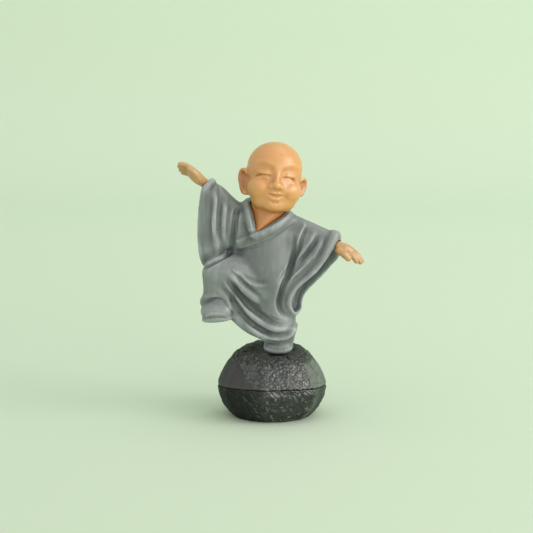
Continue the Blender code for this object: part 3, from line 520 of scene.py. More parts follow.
HEM = (
    (-21.6, 20), (-19.4, 15.8), (-14.8, 11.6), (-10.6, 9.2), (-6, 7.6), (-0.8, 6.5), (5, 7.4),
    (7.6, 10.4),
)
FOOT_HEM = (
    (-34.6, 22.4, -7.6), (-34.6, 24.8, -9), (-32.4, 26.3, -11.6), (-28.6, 26.8, -13.2),
    (-24.6, 25.2, -12.6), (-21.6, 22.6, -10.6), (-20, 18.8, -8.2), (-19.2, 16, -6),
)

# Big folds of the cloth: line, radius, rise above the cloth they lie on
GREAT_FOLDS = (
    ([(-21.8, 39.6), (-19.5, 37.8), (-17, 35.8), (-14, 33.4), (-11, 31.9), (-8, 31.2), (-3.5, 31.4)],
     1.3, 0.8),
    ([(-23.5, 37), (-21.5, 35.6), (-19.3, 33.6), (-17, 30.8), (-14, 27.8), (-11, 25.4), (-8.3, 23.2),
      (-5, 21)], 1.8, 1.3),
    ([(-26, 34.5), (-23.8, 32), (-21.2, 28.6), (-18.6, 24.9), (-15.2, 20.6), (-12, 17.6), (-9.3, 15.4),
      (-6, 13.2), (-2, 11.4), (1.5, 10.9), (5, 11.2), (8, 12.6)], 2.3, 1.9),
    ([(-29.5, 31), (-26, 28.4), (-22.4, 25.6), (-20, 23), (-17.7, 19.4), (-15.6, 15.8), (-13.2, 12.6),
      (-10.4, 10), (-7.5, 8), (-4.5, 6.6), (-1, 6.1), (3, 6.3), (6.4, 7.6), (8.4, 10)], 2.1, 1.5),
    ([(-29.6, 78), (-29, 72.8), (-29.2, 64), (-29, 56), (-27.8, 49), (-28, 44.5)], 2.3, 1.5),
    ([(-23.4, 73), (-24.2, 67), (-24.9, 60.2), (-25, 54), (-24, 48.6)], 1.9, 1.1),
    ([(12, 62), (12.6, 59), (11, 55), (9.4, 50.6), (8, 46.4)], 1.4, 0.8),
    ([(17, 58.6), (16.6, 54.4), (14, 50), (10.8, 45.6), (8, 42)], 1.6, 0.8),
    ([(20.6, 54), (19.8, 50), (17.4, 45.6), (14, 41.6), (10.6, 38), (7, 34.6), (4.8, 30.6), (3.6, 26)],
     1.6, 0.9),
    ([(-20, 49.5), (-12, 50.2), (-4, 52.6), (2, 55.6)], 1.6, 0.3),
)


def slippers(clay):
    """The standing foot, level on the rock, and the raised one with its toe tipped up."""
    clay.loft(
        [
            ((0.3, 6.0, 3.4), (5.4, 0, 0), (0, 0, 3.4)),
            ((0.5, 1.0, 3.4), (6.4, 0, 0), (0, 0, 3.4)),
            ((0.5, -4.5, 3.1), (7.3, 0, 0), (0, 0, 3.1)),
            ((0.6, -6.5, 2.9), (6.9, 0, 0), (0, 0, 2.9)),
        ],
        round_ends=(0.8, 0.9),
    )
    clay.rope([seen(-0.2, 11, 0), (0.3, 2, 5.8)], (6.6, 6.3))
    toe, heel = seen(-28.3, 19.6, -13.5), seen(-27.2, 21.5, -2)
    lift = Vector((-0.05, 0.2, 1))
    clay.loft(
        [
            (heel, (5.6, 0, 0), lift * 4.0),
            ((toe + heel) / 2, (6.8, 0, 0), lift * 4.8),
            (toe, (7.7, 0, 0.4), lift * 4.6),
        ],
        round_ends=(0.8, 0.85),
    )
    sole = [seen(-28.2, 15.4, -15), seen(-27.8, 15.9, -9), seen(-27.2, 16.8, -1)]
    clay.loft(
        [(p, (w, 0, 0.6), lift * 1.3) for p, w in zip(sole, (7.4, 7.8, 5.8))],
        round_ends=(1.8, 2.5),
    )


# Level sections of the neck plug, which narrows to the point of the collar's V
NECK = (
    (-2.8, 76, 0.5, 7.8, 6.8),
    (-3.6, 70, -0.3, 8.6, 7.2),
    (-4.2, 65, -1.6, 7.4, 6.4),
    (-6.9, 60, -3.7, 3.9, 4.8),
    (-9.0, 57.0, -4.9, 1.6, 3.6),
)


# Raised bands: line, half width, height
LAPELS = (
    ([(-15.4, 71.5), (-14.2, 65.4), (-13.2, 60), (-12.2, 56.2)], 1.5, 0.5),
    ([(9, 66), (6.4, 62.6), (1.6, 58.8), (-3, 56), (-8.5, 53.8), (-14, 51.8), (-19.5, 49.8)], 2.4, 0.7),
)

# Folds: line, half width, height
FRONT_FOLDS = (
    ([(-24.8, 44.2), (-22.6, 46.2), (-20.9, 49.2), (-20.4, 53)], 1.9, -1.2),
    ([(-15.8, 68.5), (-18.7, 65.5), (-19.9, 60), (-20.8, 52.7), (-21.7, 47)], 2.3, -1.9),
    ([(-30.2, 74), (-30.5, 70), (-31, 65), (-31.4, 58), (-30.4, 50)], 2.1, -0.8),
    ([(-26.8, 75), (-26.5, 69), (-27, 63), (-27, 56), (-25.9, 49)], 1.9, -0.9),
    ([(-21.4, 70), (-22, 65), (-22.6, 58), (-22.6, 51)], 1.6, -0.7),
    ([(-34.9, 71), (-35.1, 62), (-35, 52), (-34.4, 44)], 0.8, -0.45),
    ([(-35.2, 38.4), (-33.8, 39.4), (-31.4, 40.8), (-28, 42.8), (-24.6, 44.6), (-21.8, 46.2),
      (-19.4, 47.4)], 1.7, -1.5),
    ([(-34.2, 38.6), (-34.3, 33), (-34, 27.6)], 0.8, -0.6),
    ([(7.6, 58), (8, 52), (7.9, 47), (6.9, 41.5), (5, 36), (3.2, 31.8), (1.9, 27.6), (1.1, 23.8),
      (1.8, 20), (4.2, 17.2), (8, 16)], 2.1, -2.4),
    ([(14.6, 60), (12.8, 56.4), (10.8, 50.8), (9, 45.8), (6.9, 41)], 1.6, -1.2),
    ([(19, 56), (18, 52), (15, 47.8), (11.8, 44), (8.8, 40.6)], 1.7, -1.2),
    ([(17.4, 45), (15.8, 42), (12.6, 38.4), (9.2, 35.4), (6, 32.6)], 1.2, -0.5),
    ([(23.6, 56.6), (22.2, 52.4), (20.5, 48.2), (18.6, 44.2), (16.2, 40.4), (13, 36.8), (9.6, 33.4),
      (6.8, 30)], 1.3, -0.45),
    ([(-20.4, 38), (-18.3, 35.8), (-15.6, 32.8), (-12.6, 29.8), (-9.4, 27.4), (-6, 25.6)], 1.8, -0.9),
    ([(-22.6, 35.4), (-20.8, 32.4), (-18.4, 28.8), (-16.2, 25.6), (-13.4, 22), (-10.2, 19.4),
      (-6.4, 16.9), (-3, 14.9), (1, 13.7), (5, 13.6)], 2.6, -1.1),
    ([(-28, 31.8), (-24.6, 28.9), (-21.4, 25.9), (-18.7, 21.8), (-16, 18), (-13, 14.4), (-9, 11.4),
      (-5, 9.6), (-0.5, 8.4), (4, 7.8)], 2.4, -0.9),
    ([(-17.5, 38.5), (-14.5, 35.2), (-11, 33.4), (-7, 32.8), (-3, 33.4)], 1.8, -0.5),
    ([(-34, 21.6), (-32.6, 23.6), (-30, 25), (-27, 25.2), (-24, 23.5), (-21.8, 21), (-20.5, 18),
      (-19.6, 15.6)], 1.0, -0.8),
    ([(-35.2, 15.2), (-32, 16.3), (-29, 16.6), (-24.5, 16.4), (-21.0, 15.7)], 0.7, -0.7),
    ([(-34.8, 16.4), (-31.2, 18.2), (-27, 18.3), (-22.6, 17.4)], 0.8, 0.3),
    ([(-5.6, 4.6), (-5.0, 2.8), (-2, 1.5), (2.3, 1.2), (6.2, 2.6), (7.2, 4.6)], 0.6, -0.5),
    ([(-7, 6.2), (-3, 4.9), (1.5, 4.7), (5.4, 5.7), (8.4, 8.2)], 1.0, -1.1),
)
COLLAR_LINES = (
    ([(6.2, 63.4), (3.4, 61), (0.2, 58.8), (-4, 56.8), (-8.5, 55.2), (-13, 53.2), (-18.6, 50.6)], 0.8, -0.6),
    ([(8.6, 62.2), (4.4, 59), (0, 56.2), (-4.4, 53.8), (-10, 51.8), (-15, 50.2), (-19.6, 48.2)], 0.8, -0.9),
    ([(-16, 69), (-14.8, 64), (-13.8, 60), (-12.3, 55.8)], 0.8, -0.7),
)

BACK_FOLDS = (
    ([(-14, 66), (-16, 55), (-20, 47)], 1.8, -1.3),
    ([(-24, 72), (-25, 60), (-27, 48)], 1.6, -0.9),
    ([(7, 60), (8.5, 48), (5.5, 36), (4.5, 25)], 1.8, -1.4),
    ([(15, 57), (14, 46), (10, 34)], 1.5, -0.9),
    ([(-9, 56), (-11, 42), (-13, 28)], 1.7, -0.8),
    ([(0, 54), (-0.5, 40), (-1.5, 24)], 1.7, -0.8),
    ([(-20, 36), (-12, 24), (-4, 15)], 1.7, -1.0),
)


def robe_mesh(grain, *plugs):
    """The robe, with a socket cut for each plug."""
    masses = Clay()
    torso(masses)
    sleeves(masses)
    skirt(masses)
    slippers(masses)
    base = fused(masses, 5)
    surface = Carver(base)
    draped = Clay()
    draped.add(base)
    for line, radius, rise in GREAT_FOLDS:
        draped.fold(surface, line, radius, rise)
    cuff(draped, RIGHT_SLEEVE, UPPER_WALL, 0.7)
    cuff(draped, LEFT_SLEEVE, WALL, 1.9)
    mesh = cut(
        fused(draped, 2, 0.6),
        hollow(stacked(RIGHT_SLEEVE), 5, UPPER_WALL),
        hollow(stacked(LEFT_SLEEVE), 7, WALL),
    )
    carver = Carver(regrained(mesh, grain))
    for line, width, height in LAPELS:
        carver.band(line, width, height)
    carver.strokes(FRONT_FOLDS + COLLAR_LINES)
    carver.strokes(BACK_FOLDS, back=True)
    mesh = cut(carver.done(), *(grown(plug) for plug in plugs))
    return regrained(mesh, grain, 1)


def grown(mesh):
    """A plug swollen by the moulding gap, to cut its socket with."""
    return modified(
        mesh.copy(),
        ("DISPLACE", {"strength": GAP, "mid_level": 0}),
        ("REMESH", {"mode": "VOXEL", "voxel_size": SOCKET_GRAIN}),
    )


HEAD_CENTRE = seen(-1.3, 82.9, -1)
HEAD_TURN = (
    Matrix.Rotation(math.radians(9), 3, "Y")
    @ Matrix.Rotation(math.radians(6), 3, "Z")
    @ Matrix.Rotation(math.radians(-5), 3, "X")
)

# How far the lower face lies to the viewer's right, as a share of its distance under the middle
JAW_SHIFT = 0.07

# Sideways, depth, height, then half width, half depth and half height
HEAD_BALLS = (
    (0, 1.6, 3.0, 13.0, 13.8, 12.3),
    (0, -0.4, -6.2, 12.4, 11.6, 10.3),
    (6.2, -4.6, -6.6, 6.6, 6.6, 6.2),
    (4.4, -3.4, -10.8, 6.4, 6.4, 5.9),
    (0, -6.4, -12.8, 6.4, 4.6, 4.4),
)
NOSE_BALLS = (
    (0, -11.9, -4.3, 2.3, 2.6, 1.9),
    (2.3, -11.2, -4.9, 1.5, 1.9, 1.4),
    (0, -11.0, -1.4, 1.4, 2.0, 3.8),
)


def on_head(x, y, z):
    """A place on the head; the jaw is set a little to the viewer's right, as the head leans."""
    return HEAD_CENTRE + HEAD_TURN @ Vector((x + JAW_SHIFT * max(0, -z), y, z))


def ear(clay, side, middle, tall):
    """A flat shell that stands a little off the head, with a rolled rim and a long lobe."""
    flare = HEAD_TURN @ Matrix.Rotation(side * math.radians(32), 3, "Z")
    clay.ball(on_head(side * 13.0, 3.6, middle - 0.6 * tall), (2.4, 1.3, 5.8 * tall), flare)
    clay.ball(on_head(side * 11.9, 2.8, middle - tall), (2.2, 1.6, 5.0 * tall), flare)
    rim = (
        (12.6, 1.2, 4.0), (14.0, 2.0, 5.5), (15.2, 3.8, 4.7), (15.6, 4.4, 1.6), (14.9, 3.8, -2.0),
        (13.7, 2.8, -4.6), (12.3, 1.8, -5.4),
    )
    spots = [on_head(side * x, y, middle + z * tall) for x, y, z in rim]
    clay.rope(spots, (0.8, 0.9, 1.0, 0.95, 0.95, 1.2, 1.0))


# Each ear: its side, the height of its middle on the head and how tall it is against the drawn one
EARS = ((-1, -5.2, 1.0), (1, -4.2, 0.72))

# Dents and bumps of the face, then its lines, on one half: across, up. Both halves get them.
FACE_FORMS = (
    ((6.0, 3.2), (5.8, 3.2), -0.65),
    ((3.0, 1.6), (2.4, 3.8), -0.55),
    ((6.3, 0.7), (4.2, 1.8), 0.6),
    ((6.6, -5.4), (5.0, 4.2), 0.45),
)
FACE_LINES = (
    ([(2.4, -1.1), (4.2, -0.3), (6.4, -0.2), (8.4, -0.8), (10.6, -2.2)], 0.8, -0.62),
    ([(3.2, -2.1), (6.2, -1.5), (9, -2.7)], 0.9, 0.3),
    ([(2, 3.2), (4, 5.0), (6.4, 5.9), (9.2, 5.2), (11, 3.4)], 2.0, 0.18),
)
FACE_TAPER = 0.18
MOUTH_LINES = (
    ([(-4.3, -8.6), (-2, -9.0), (0.6, -9.3), (3, -9.0), (5.3, -8.5)], 0.8, -0.55),
    ([(-2.8, -10.2), (0.6, -10.7), (3.8, -10.2)], 1.4, 0.55),
    ([(-2.8, -8.0), (-0.6, -7.8), (0.6, -8.1), (1.8, -7.8), (3.8, -8.0)], 0.9, 0.35),
    ([(-2.2, -12.1), (0.6, -12.5), (3.2, -12.1)], 1.3, -0.35),
    ([(5.0, -7.6), (5.9, -9.2), (5.7, -11)], 1.5, -0.18),
)


def head_balls(clay, rows):
    """Balls of the head; one that lies off the middle comes on both sides."""
    for x, y, z, w, d, h in rows:
        for side in (-1, 1) if x else (1,):
            clay.ball(on_head(side * x, y, z), (w, d, h), HEAD_TURN)


def head_mesh(grain):
    clay = Clay()
    head_balls(clay, HEAD_BALLS)
    skull = Clay()
    skull.add(fused(clay, 6))
    head_balls(skull, NOSE_BALLS)
    skull.loft(uprights(NECK))
    for ear_place in EARS:
        ear(skull, *ear_place)
    mesh = regrained(fused(skull, 1, 0.55), grain)
    carver = Carver(mesh, HEAD_TURN, HEAD_CENTRE)
    for side in (-1, 1):
        for (x, z), radii, height in FACE_FORMS:
            carver.press((side * x, z), radii, height)
        for line, width, height in FACE_LINES:
            carver.stroke([(side * x, z) for x, z in line], width, height, taper=FACE_TAPER)
    carver.strokes(MOUTH_LINES)
    return carver.done()


def hand_mesh(grain, cords):
    """A hand with its wrist plug, of tapered cords that melt into one another."""
    clay = Clay()
    for line, radii in cords:
        clay.cord(line, radii)
    return fused(clay, 2, grain)


# Each hand: its wrist plug, two cords of the palm, the thumb and four fingers
RIGHT_HAND = (
    (((-27.5, 74.8, -0.6), (-34.2, 79.3, -1.0)), (2.1, 2.4)),
    (((-34.6, 79.6, -1.8), (-37, 81.4, -3.2), (-39.6, 84, -3.6)), (2.3, 2.8, 2.4)),
    (((-34.6, 79.6, -0.2), (-37, 81.2, 0), (-39.6, 83.6, -0.6)), (2.3, 2.6, 2.4)),
    (((-36, 80.8, -4.2), (-38.4, 83.6, -5.4), (-40.8, 85.4, -6.0)), (1.7, 1.8, 1.3)),
    (((-39.2, 85, -2.4), (-42.6, 87.2, -2.8), (-45, 87.6, -3)), (1.5, 1.2, 1.05)),
    (((-39.6, 84.6, -1.0), (-43, 86, -1.6), (-45.4, 86.6, -2)), (1.5, 1.2, 1.05)),
    (((-39.6, 83.6, 0.4), (-43, 84.8, 0), (-44.9, 85.1, -0.4)), (1.5, 1.15, 1.0)),
    (((-39.6, 82.8, 1.8), (-42.4, 83.6, 1.4), (-44, 83.8, 1.2)), (1.4, 1.1, 0.95)),
)
LEFT_HAND = (
    (((21.5, 52, -0.5), (29, 49.8, -1.2)), (2.2, 2.3)),
    (((28.8, 49.6, -3), (31.5, 48.6, -3.2), (34, 47.4, -3.2)), (2.3, 2.5, 2.0)),
    (((28.8, 49.4, 0), (31.8, 48.8, 0.2), (34.4, 47.6, 0.4)), (2.2, 2.4, 2.0)),
    (((28.8, 47.6, -5), (31.2, 45.9, -6), (33.2, 43.9, -6.2)), (1.9, 1.8, 1.5)),
    (((33.2, 47.3, -4), (35.6, 44.8, -4.6), (37, 42.6, -4.6)), (1.6, 1.4, 1.2)),
    (((34, 47.8, -2), (37.2, 45, -2.4), (39, 42.1, -2.4)), (1.5, 1.3, 1.1)),
    (((34.6, 48.1, 0), (38.2, 45.2, -0.2), (39.9, 42.7, -0.2)), (1.5, 1.2, 1.05)),
    (((34.6, 47.6, 1.8), (37.4, 45.4, 2), (38.8, 43.6, 2)), (1.4, 1.1, 0.95)),
)


# The rock's outline from above: compass corner in degrees, share of its half width
ROCK_CORNERS = (
    (3, 1.0), (22, 0.99), (40, 1.0), (62, 0.97), (86, 1.0), (110, 0.98), (136, 0.99), (158, 0.985),
    (178, 1.0), (196, 0.985), (214, 1.01), (238, 0.975), (261, 1.02), (290, 0.965), (318, 1.05),
    (340, 0.99),
)
# Its profile: share of the height, share of the outline, how much of the corners is rounded off
# and how much of the height the ring rises at the back, where the shoulder climbs behind the foot
ROCK_PROFILE = (
    (0.0, 0.70, 0.8, 0), (0.04, 0.76, 0.8, 0), (0.11, 0.835, 0.6, 0), (0.2, 0.915, 0.4, 0),
    (0.32, 0.975, 0.1, 0), (0.45, 1.0, 0, 0), (0.56, 0.985, 0, 0), (0.68, 0.935, 0.1, 0),
    (0.8, 0.86, 0.2, 0.03), (0.91, 0.76, 0.3, 0.1), (0.97, 0.66, 0.5, 0.14), (1.0, 0.53, 0.5, 0.08),
    (1.0, 0.42, 0.5, 0),
)
SEAM_TILT = math.radians(-6)


def rock_halves(gap=MOULD_GAP):
    """The two halves of the rock by name, split by a slightly tilted seam."""
    form = bmesh.new()
    loops = []
    for height, share, rounding, back_rise in ROCK_PROFILE:
        loop = []
        for angle, corner in ROCK_CORNERS:
            turn = math.radians(angle)
            reach = share * (corner + (1 - corner) * rounding)
            place_x = math.cos(turn) * reach * ROCK_WIDTH / 2
            place_y = math.sin(turn) * reach * ROCK_DEPTH / 2
            place_z = (height + back_rise * max(0, math.sin(turn))) * ROCK_HEIGHT
            loop.append(form.verts.new((place_x, place_y, place_z)))
        loops.append(loop)
    form.faces.new(loops[0][::-1])
    form.faces.new(loops[-1])
    count = len(ROCK_CORNERS)
    for lower, upper in zip(loops, loops[1:]):
        for i in range(count):
            j = (i + 1) % count
            form.faces.new((lower[i], lower[j], upper[j], upper[i]))
    seam = Vector((0, 0, SEAM_HEIGHT))
    facing = Matrix.Rotation(SEAM_TILT, 3, "X") @ Vector((0, 0, 1))
    halves = {}
    for name, side in (("rock_lower", 1), ("rock_upper", -1)):
        half = form.copy()
        cut_edge = bmesh.ops.bisect_plane(
            half, geom=[*half.verts, *half.edges, *half.faces],
            plane_co=seam - facing * side * gap / 2, plane_no=facing * side,
            clear_outer=True,
        )["geom_cut"]
        rim = [part for part in cut_edge if isinstance(part, bmesh.types.BMEdge)]
        bmesh.ops.contextual_create(half, geom=rim)
        bmesh.ops.triangulate(half, faces=half.faces)
        bmesh.ops.recalc_face_normals(half, faces=half.faces)
        halves[name] = bpy.data.meshes.new(name)
        half.to_mesh(halves[name])
        half.free()
    form.free()
    return halves


# Where the sole stands, in metres
STAND = Vector((FOOT_OFFSET, 0, ROCK_HEIGHT + MOULD_GAP))


def in_metres(mesh):
    """Brings the figure's drawing to size and stands it on the rock."""
    mesh.transform(Matrix.Translation(STAND) @ Matrix.Diagonal((UNIT, UNIT, UNIT, 1)))


# Fine wrinkles and brush-worn edges, which only the dressed robe has
FINE_FOLDS = (
    ([(-17.4, 69), (-18.2, 64), (-18.6, 58), (-18.4, 53)], 0.8, -0.35),
    ([(-27.8, 79.4), (-29.4, 77.6), (-31.6, 74.6)], 0.8, -0.35),
    ([(-27.8, 78.2), (-27.2, 75.8), (-27.2, 72.8)], 0.8, -0.3),
    ([(-33, 77), (-33.2, 70), (-33.2, 60), (-32.6, 52)], 0.6, -0.25),
    ([(-30.2, 66), (-30, 60), (-29.4, 52)], 0.6, 0.2),
    ([(-28.6, 45.8), (-24.8, 47.2), (-22.4, 48.8)], 0.8, -0.4),
    ([(-15.2, 50.2), (-10, 51.4), (-4.5, 53.8), (1, 57)], 0.5, -0.2),
    ([(-15, 47.6), (-11, 48.6), (-8, 49.2)], 0.6, -0.2),
    ([(-21.5, 39.3), (-19.3, 37.6), (-16.8, 35.4)], 0.5, 0.3),
    ([(-24, 34), (-21.6, 30.4), (-19.4, 27)], 0.8, -0.35),
    ([(-4.2, 18.4), (-1.5, 16.2), (2.4, 14.6)], 0.5, -0.3),
    ([(-2.6, 16.4), (0, 15), (3.4, 14.2)], 0.5, 0.25),
    ([(-22.6, 24.4), (-19.4, 20.2), (-15.6, 16), (-10.8, 11.6), (-5.4, 8.2), (1.4, 6.4)], 0.5, -0.3),
    ([(0.4, 34.4), (1.8, 37), (3.6, 39.4), (4.6, 42)], 0.5, 0.35),
    ([(2.4, 34.4), (3.6, 36.4)], 0.5, 0.3),
    ([(14.4, 42.4), (10.8, 38.8), (7.4, 35.4), (5.2, 32.8)], 0.5, 0.3),
    ([(12.6, 61), (12.8, 59), (11.4, 56.2), (10, 52.4)], 0.5, 0.3),
)

# Places on the front of the robe painted paler, with painted highlights and some dry-brushed wear, or
# darker, with painted shade: middle, reach and amount
LIGHT_AND_WEAR_SPOTS = (
    ((-32, 47), 4.0, 0.9),
    ((-32, 60), 7.0, 0.45),
    ((-30.4, 40), 4.2, 0.3),
    ((-31, 35), 4.0, 0.35),
    ((-30, 29), 4.0, 0.5),
    ((-28.6, 19), 5.0, 0.4),
    ((-21, 36), 5.0, 0.3),
    ((4.6, 55.5), 3.0, 0.6),
    ((3.2, 61), 3.2, 0.35),
    ((1.5, 33.6), 2.2, 0.9),
    ((3.8, 13), 4.5, 0.7),
    ((-7, 11), 5.0, 0.5),
    ((18.3, 48.4), 4.5, -0.6),
    ((-3, 40), 8.0, -0.45),
    ((-22.4, 47.4), 2.4, -1.6),
    ((-20.6, 55), 3.0, -0.7),
    ((0.5, 3), 4.0, -0.3),
)

ROBE_GRAIN = 0.42
SKULL_GRAIN = 0.27
FINGER_GRAIN = 0.25
ROCK_GRAIN = 0.00024
VISIBLE_SEAM = 0.00008
# Where the noise that bends the chips starts from, so that each run draws the same ones
NOISE_SEED = 5
# The chips' borders are bent by this much, by noise of this scale, in chip sizes
BEND = 0.6
BEND_SCALE = 1.3
# Tells the chips' slants apart, and how steeply they go down to the cracks between them
SLANT_SCALE = 3.7
EDGE_STEEPNESS = 4

# Compass places round the rock, in degrees, and over how many its faces pass into each other:
# the sandy face, then the glossy one, then the pale one, which is painted with the reflection of the bright
# room and runs on past the east
SANDY_START = (196, 206)
SANDY_END = (253, 258)
GLOSSY_START = (255, 260)
GLOSSY_END = (314, 319)
PALE_END = (10, 30)
# How far the border between the first two leans, in degrees at the seam and per rock height
BORDER_LEAN = (3, 90)
# Below the seam the glossy face's borders are softer by this many degrees
SEAM_BLUR = 16
# The rock's top goes down to a flat seat under the foot: radii where it starts and is level
SEAT_EDGE = 0.0062
SEAT_FLAT = 0.0046
SEAT_DEPTH = 0.0003
# Within this of the seam or the underside, in metres, level faces stay as moulded
SEAM_BAND = 0.0004
BASE_BAND = 0.0002
# How deep a full crease is on the rock, finely and broadly read
FINE_CHIP = 0.00003
BROAD_CHIP = 0.00012
# The streaks of the lower rock fall to the right by this much
STREAK_LEAN = math.radians(-42)

# The camera's distance from the figure, and what it shows from edge to edge at that distance
CAMERA_DISTANCE = 0.55
PICTURE_SPAN = 0.1602
CAMERA_TARGET = (-0.00165, 0, 0.0456)
SENSOR = 36

# Small hollows and lines of the face that only the dressed head has, by the head's own axes
FACE_HOLLOWS = (
    ((4.7, -9.2), (0.8, 1.5), -0.2),
    ((-0.3, -5.6), (0.8, 0.5), -0.22),
    ((3.3, -5.2), (0.8, 0.5), -0.22),
)
FACE_CREASES = (
    ([(1.0, -8.0), (1.5, -7.7), (2.1, -8.0)], 0.5, 0.14),
    ([(-1.6, -4.2), (-1.9, -5.0), (-1.4, -5.7)], 0.45, -0.16),
    ([(4.6, -3.9), (5.0, -4.7), (4.5, -5.4)], 0.45, -0.16),
)

# The outer half of the raised sleeve hangs smoother than the rest: its middle and its reach
SMOOTH_SLEEVE = ((-34, 61), (3.6, 15))

# Dark flecks of the robe and the head, across and up the drawing
ROBE_FLECKS = ((-15.5, 60.1), (-9.9, 50.2), (6.1, 34.3), (-27.7, 57.3))
HEAD_FLECK = (1.9, 91.4)

# What the skin's colour is multiplied by on the head and on the hands
HEAD_TINT = (0.97, 0.90, 0.62)
HAND_TINT = (0.74, 0.80, 0.70)
# The heights on the head between which painted shade turns its colour darker and warmer towards the throat,
# under the chin
THROAT = (-14.5, -18)

# A place beside the nose, by the head's own axes, where the eye's folds fade into the cheek
CHEEK_SPOT = (4.7, -2.8)
CHEEK_REACH = 3.0

# How far the smoothed surface has to lie off the real one to count as a full crease or ridge
FINE_CREASE = 0.00006
BROAD_CREASE = 0.00045


def averager(mesh):
    """A step that takes every place halfway to the middle of its neighbours."""
    ends = np.empty(len(mesh.edges) * 2, int)
    mesh.edges.foreach_get("vertices", ends)
    first, second = ends.reshape(-1, 2).T
    count = len(mesh.vertices)
    links = np.bincount(first, minlength=count) + np.bincount(second, minlength=count)

    def step(places):
        moved = np.empty_like(places)
        for axis in range(3):
            line = places[:, axis]
            total = np.bincount(first, line[second], count) + np.bincount(second, line[first], count)
            moved[:, axis] = line / 2 + total / links / 2
        return moved

    return step


def creases(mesh, *spans):
    """How deep each vertex lies under the eased surface, one row for each count of easings."""
    points = points_of(mesh)
    normals = points_of(mesh, "normal")
    step = averager(mesh)
    eased = points
    found = []
    for turn in range(1, max(spans) + 1):
        eased = step(eased)
        if turn in spans:
            found.append(((eased - points) * normals).sum(1))
    return found


def calmed(mesh, share, turns):
    """Evens out the surface where the share is above nothing."""
    points = points_of(mesh)
    step = averager(mesh)
    eased = points
    for _ in range(turns):
        eased = step(eased)
    move_to(mesh, points + (eased - points) * share[:, None])


def mark(mesh, name, values):
    """A number kept on every vertex for the material to read."""
    kept = mesh.attributes.new(name, "FLOAT", "POINT")
    kept.data.foreach_set("value", np.asarray(values, np.float32))


def smoothstep(low, high, values):
    """Turns softly from 0 at `low` to 1 at `high`, whichever of them is the greater."""
    t = np.clip((values - low) / (high - low), 0, 1)
    return t * t * (3 - 2 * t)


def drawn_places(mesh):
    """Where each vertex lies across and up the drawing."""
    points = points_of(mesh)
    return points[:, 0], points[:, 2] * math.cos(VIEW_TILT) + points[:, 1] * math.sin(VIEW_TILT)


def painted_light_and_wear(mesh):
    """How much paler each place of the robe's front is painted, with painted highlights and wear, or darker,
    with painted shade, by the drawing's places listed above.
    """
    across, up = drawn_places(mesh)
    total = np.zeros(len(across))
    for (u, v), reach, amount in LIGHT_AND_WEAR_SPOTS:
        total += amount * np.exp(-((across - u) ** 2 + (up - v) ** 2) / reach ** 2)
    return total * smoothstep(0.1, -0.3, points_of(mesh, "normal")[:, 1])


def paint_crease_shade(mesh):
    """Marks how dark each place is painted: 1 in a deep crease, for painted shade, and -1 on a ridge, for a
    painted highlight; on the robe it also follows the dark paint in its creases and the dry-brushing on its
    ridges.
    """
    fine, broad = creases(mesh, 8, 90)
    mark(mesh, "painted_shade_and_wash", np.clip(0.20 * fine / FINE_CREASE + 0.34 * broad / BROAD_CREASE, -0.75, 1))


def smooth_in(mesh, material):
    """Shades the whole mesh smooth, in one material."""
    mesh.polygons.foreach_set("use_smooth", [True] * len(mesh.polygons))
    mesh.materials.clear()
    mesh.materials.append(material)


def dressed(name, mesh, node, material):
    """A finished piece in the scene, which stands for a node of the frame."""
    smooth_in(mesh, material)
    piece = placed(name, mesh)
    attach(piece, "root")
    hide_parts(node)


class Paint:
    """A material whose nodes are added one by one; each call gives back the node's output."""

    def __init__(self, name):
        self.material = bpy.data.materials.new(name)
        self.material.use_nodes = True
        self.nodes = self.material.node_tree.nodes
        self.links = self.material.node_tree.links
        self.shader = self.nodes["Principled BSDF"]
        self.place = self.add("ShaderNodeTexCoord").outputs["Object"]

    def add(self, kind, inputs=None, **settings):
        """A new node with the given inputs, each a number, a colour or another node's output."""
        node = self.nodes.new(kind)
        for key, value in settings.items():
            setattr(node, key, value)
        for key, value in (inputs or {}).items():
            self.feed(node.inputs[key], value)
        return node

    def feed(self, socket, value):
        if isinstance(value, bpy.types.NodeSocket):
            self.links.new(value, socket)
        else:
            socket.default_value = value

    def marked(self, name):
        """A number that the mesh keeps on its vertices."""
        return self.add("ShaderNodeAttribute", attribute_name=name).outputs["Fac"]

    def math(self, operation, first, second=0.0, third=0.0):
        node = self.add("ShaderNodeMath", operation=operation)
        for socket, value in zip(node.inputs, (first, second, third)):
            self.feed(socket, value)
        return node.outputs[0]

    def summed(self, start, *parts):
        """The start plus each part, which is a value and its share."""
        for value, share in parts:
            start = self.math("MULTIPLY_ADD", value, share, start)
        return start

    def spread(self, value, low, high, to_low=0.0, to_high=1.0):
        node = self.add("ShaderNodeMapRange", {
            "Value": value, "From Min": low, "From Max": high, "To Min": to_low, "To Max": to_high,
        })
        return node.outputs[0]

    def stretched(self, scale, turn):
        return self.add(
            "ShaderNodeMapping", {"Vector": self.place, "Scale": scale, "Rotation": turn}
        ).outputs[0]

    def noise(self, scale, detail=3.0, rough=0.5, vector=None):
        node = self.add("ShaderNodeTexNoise", {
            "Vector": vector or self.place, "Scale": scale, "Detail": detail, "Roughness": rough,
        })
        return node.outputs["Fac"]

    def ramp(self, value, stops):
        node = self.add("ShaderNodeValToRGB", {"Fac": value})
        bar = node.color_ramp.elements
        for i, (place, colour) in enumerate(stops):
            stop = bar[i] if i < 2 else bar.new(place)
            stop.position = place
            stop.color = (*colour, 1)
        return node.outputs["Color"]

    def mixed(self, share, first, second, blend="MIX"):
        node = self.add("ShaderNodeMixRGB", blend_type=blend)
        for socket, value in zip(node.inputs, (share, first, second)):
            self.feed(socket, value)
        return node.outputs[0]

    def bumped(self, strength, distance, height):
        node = self.add("ShaderNodeBump", {"Strength": strength, "Distance": distance, "Height": height})
        return node.outputs["Normal"]

    def finish(self, **inputs):
        for key, value in inputs.items():
            self.feed(self.shader.inputs[key.replace("_", " ")], value)
        return self.material


# Half the width of the small dark flecks, in metres
ROBE_FLECK = 0.00016
SKIN_FLECK = 0.00014


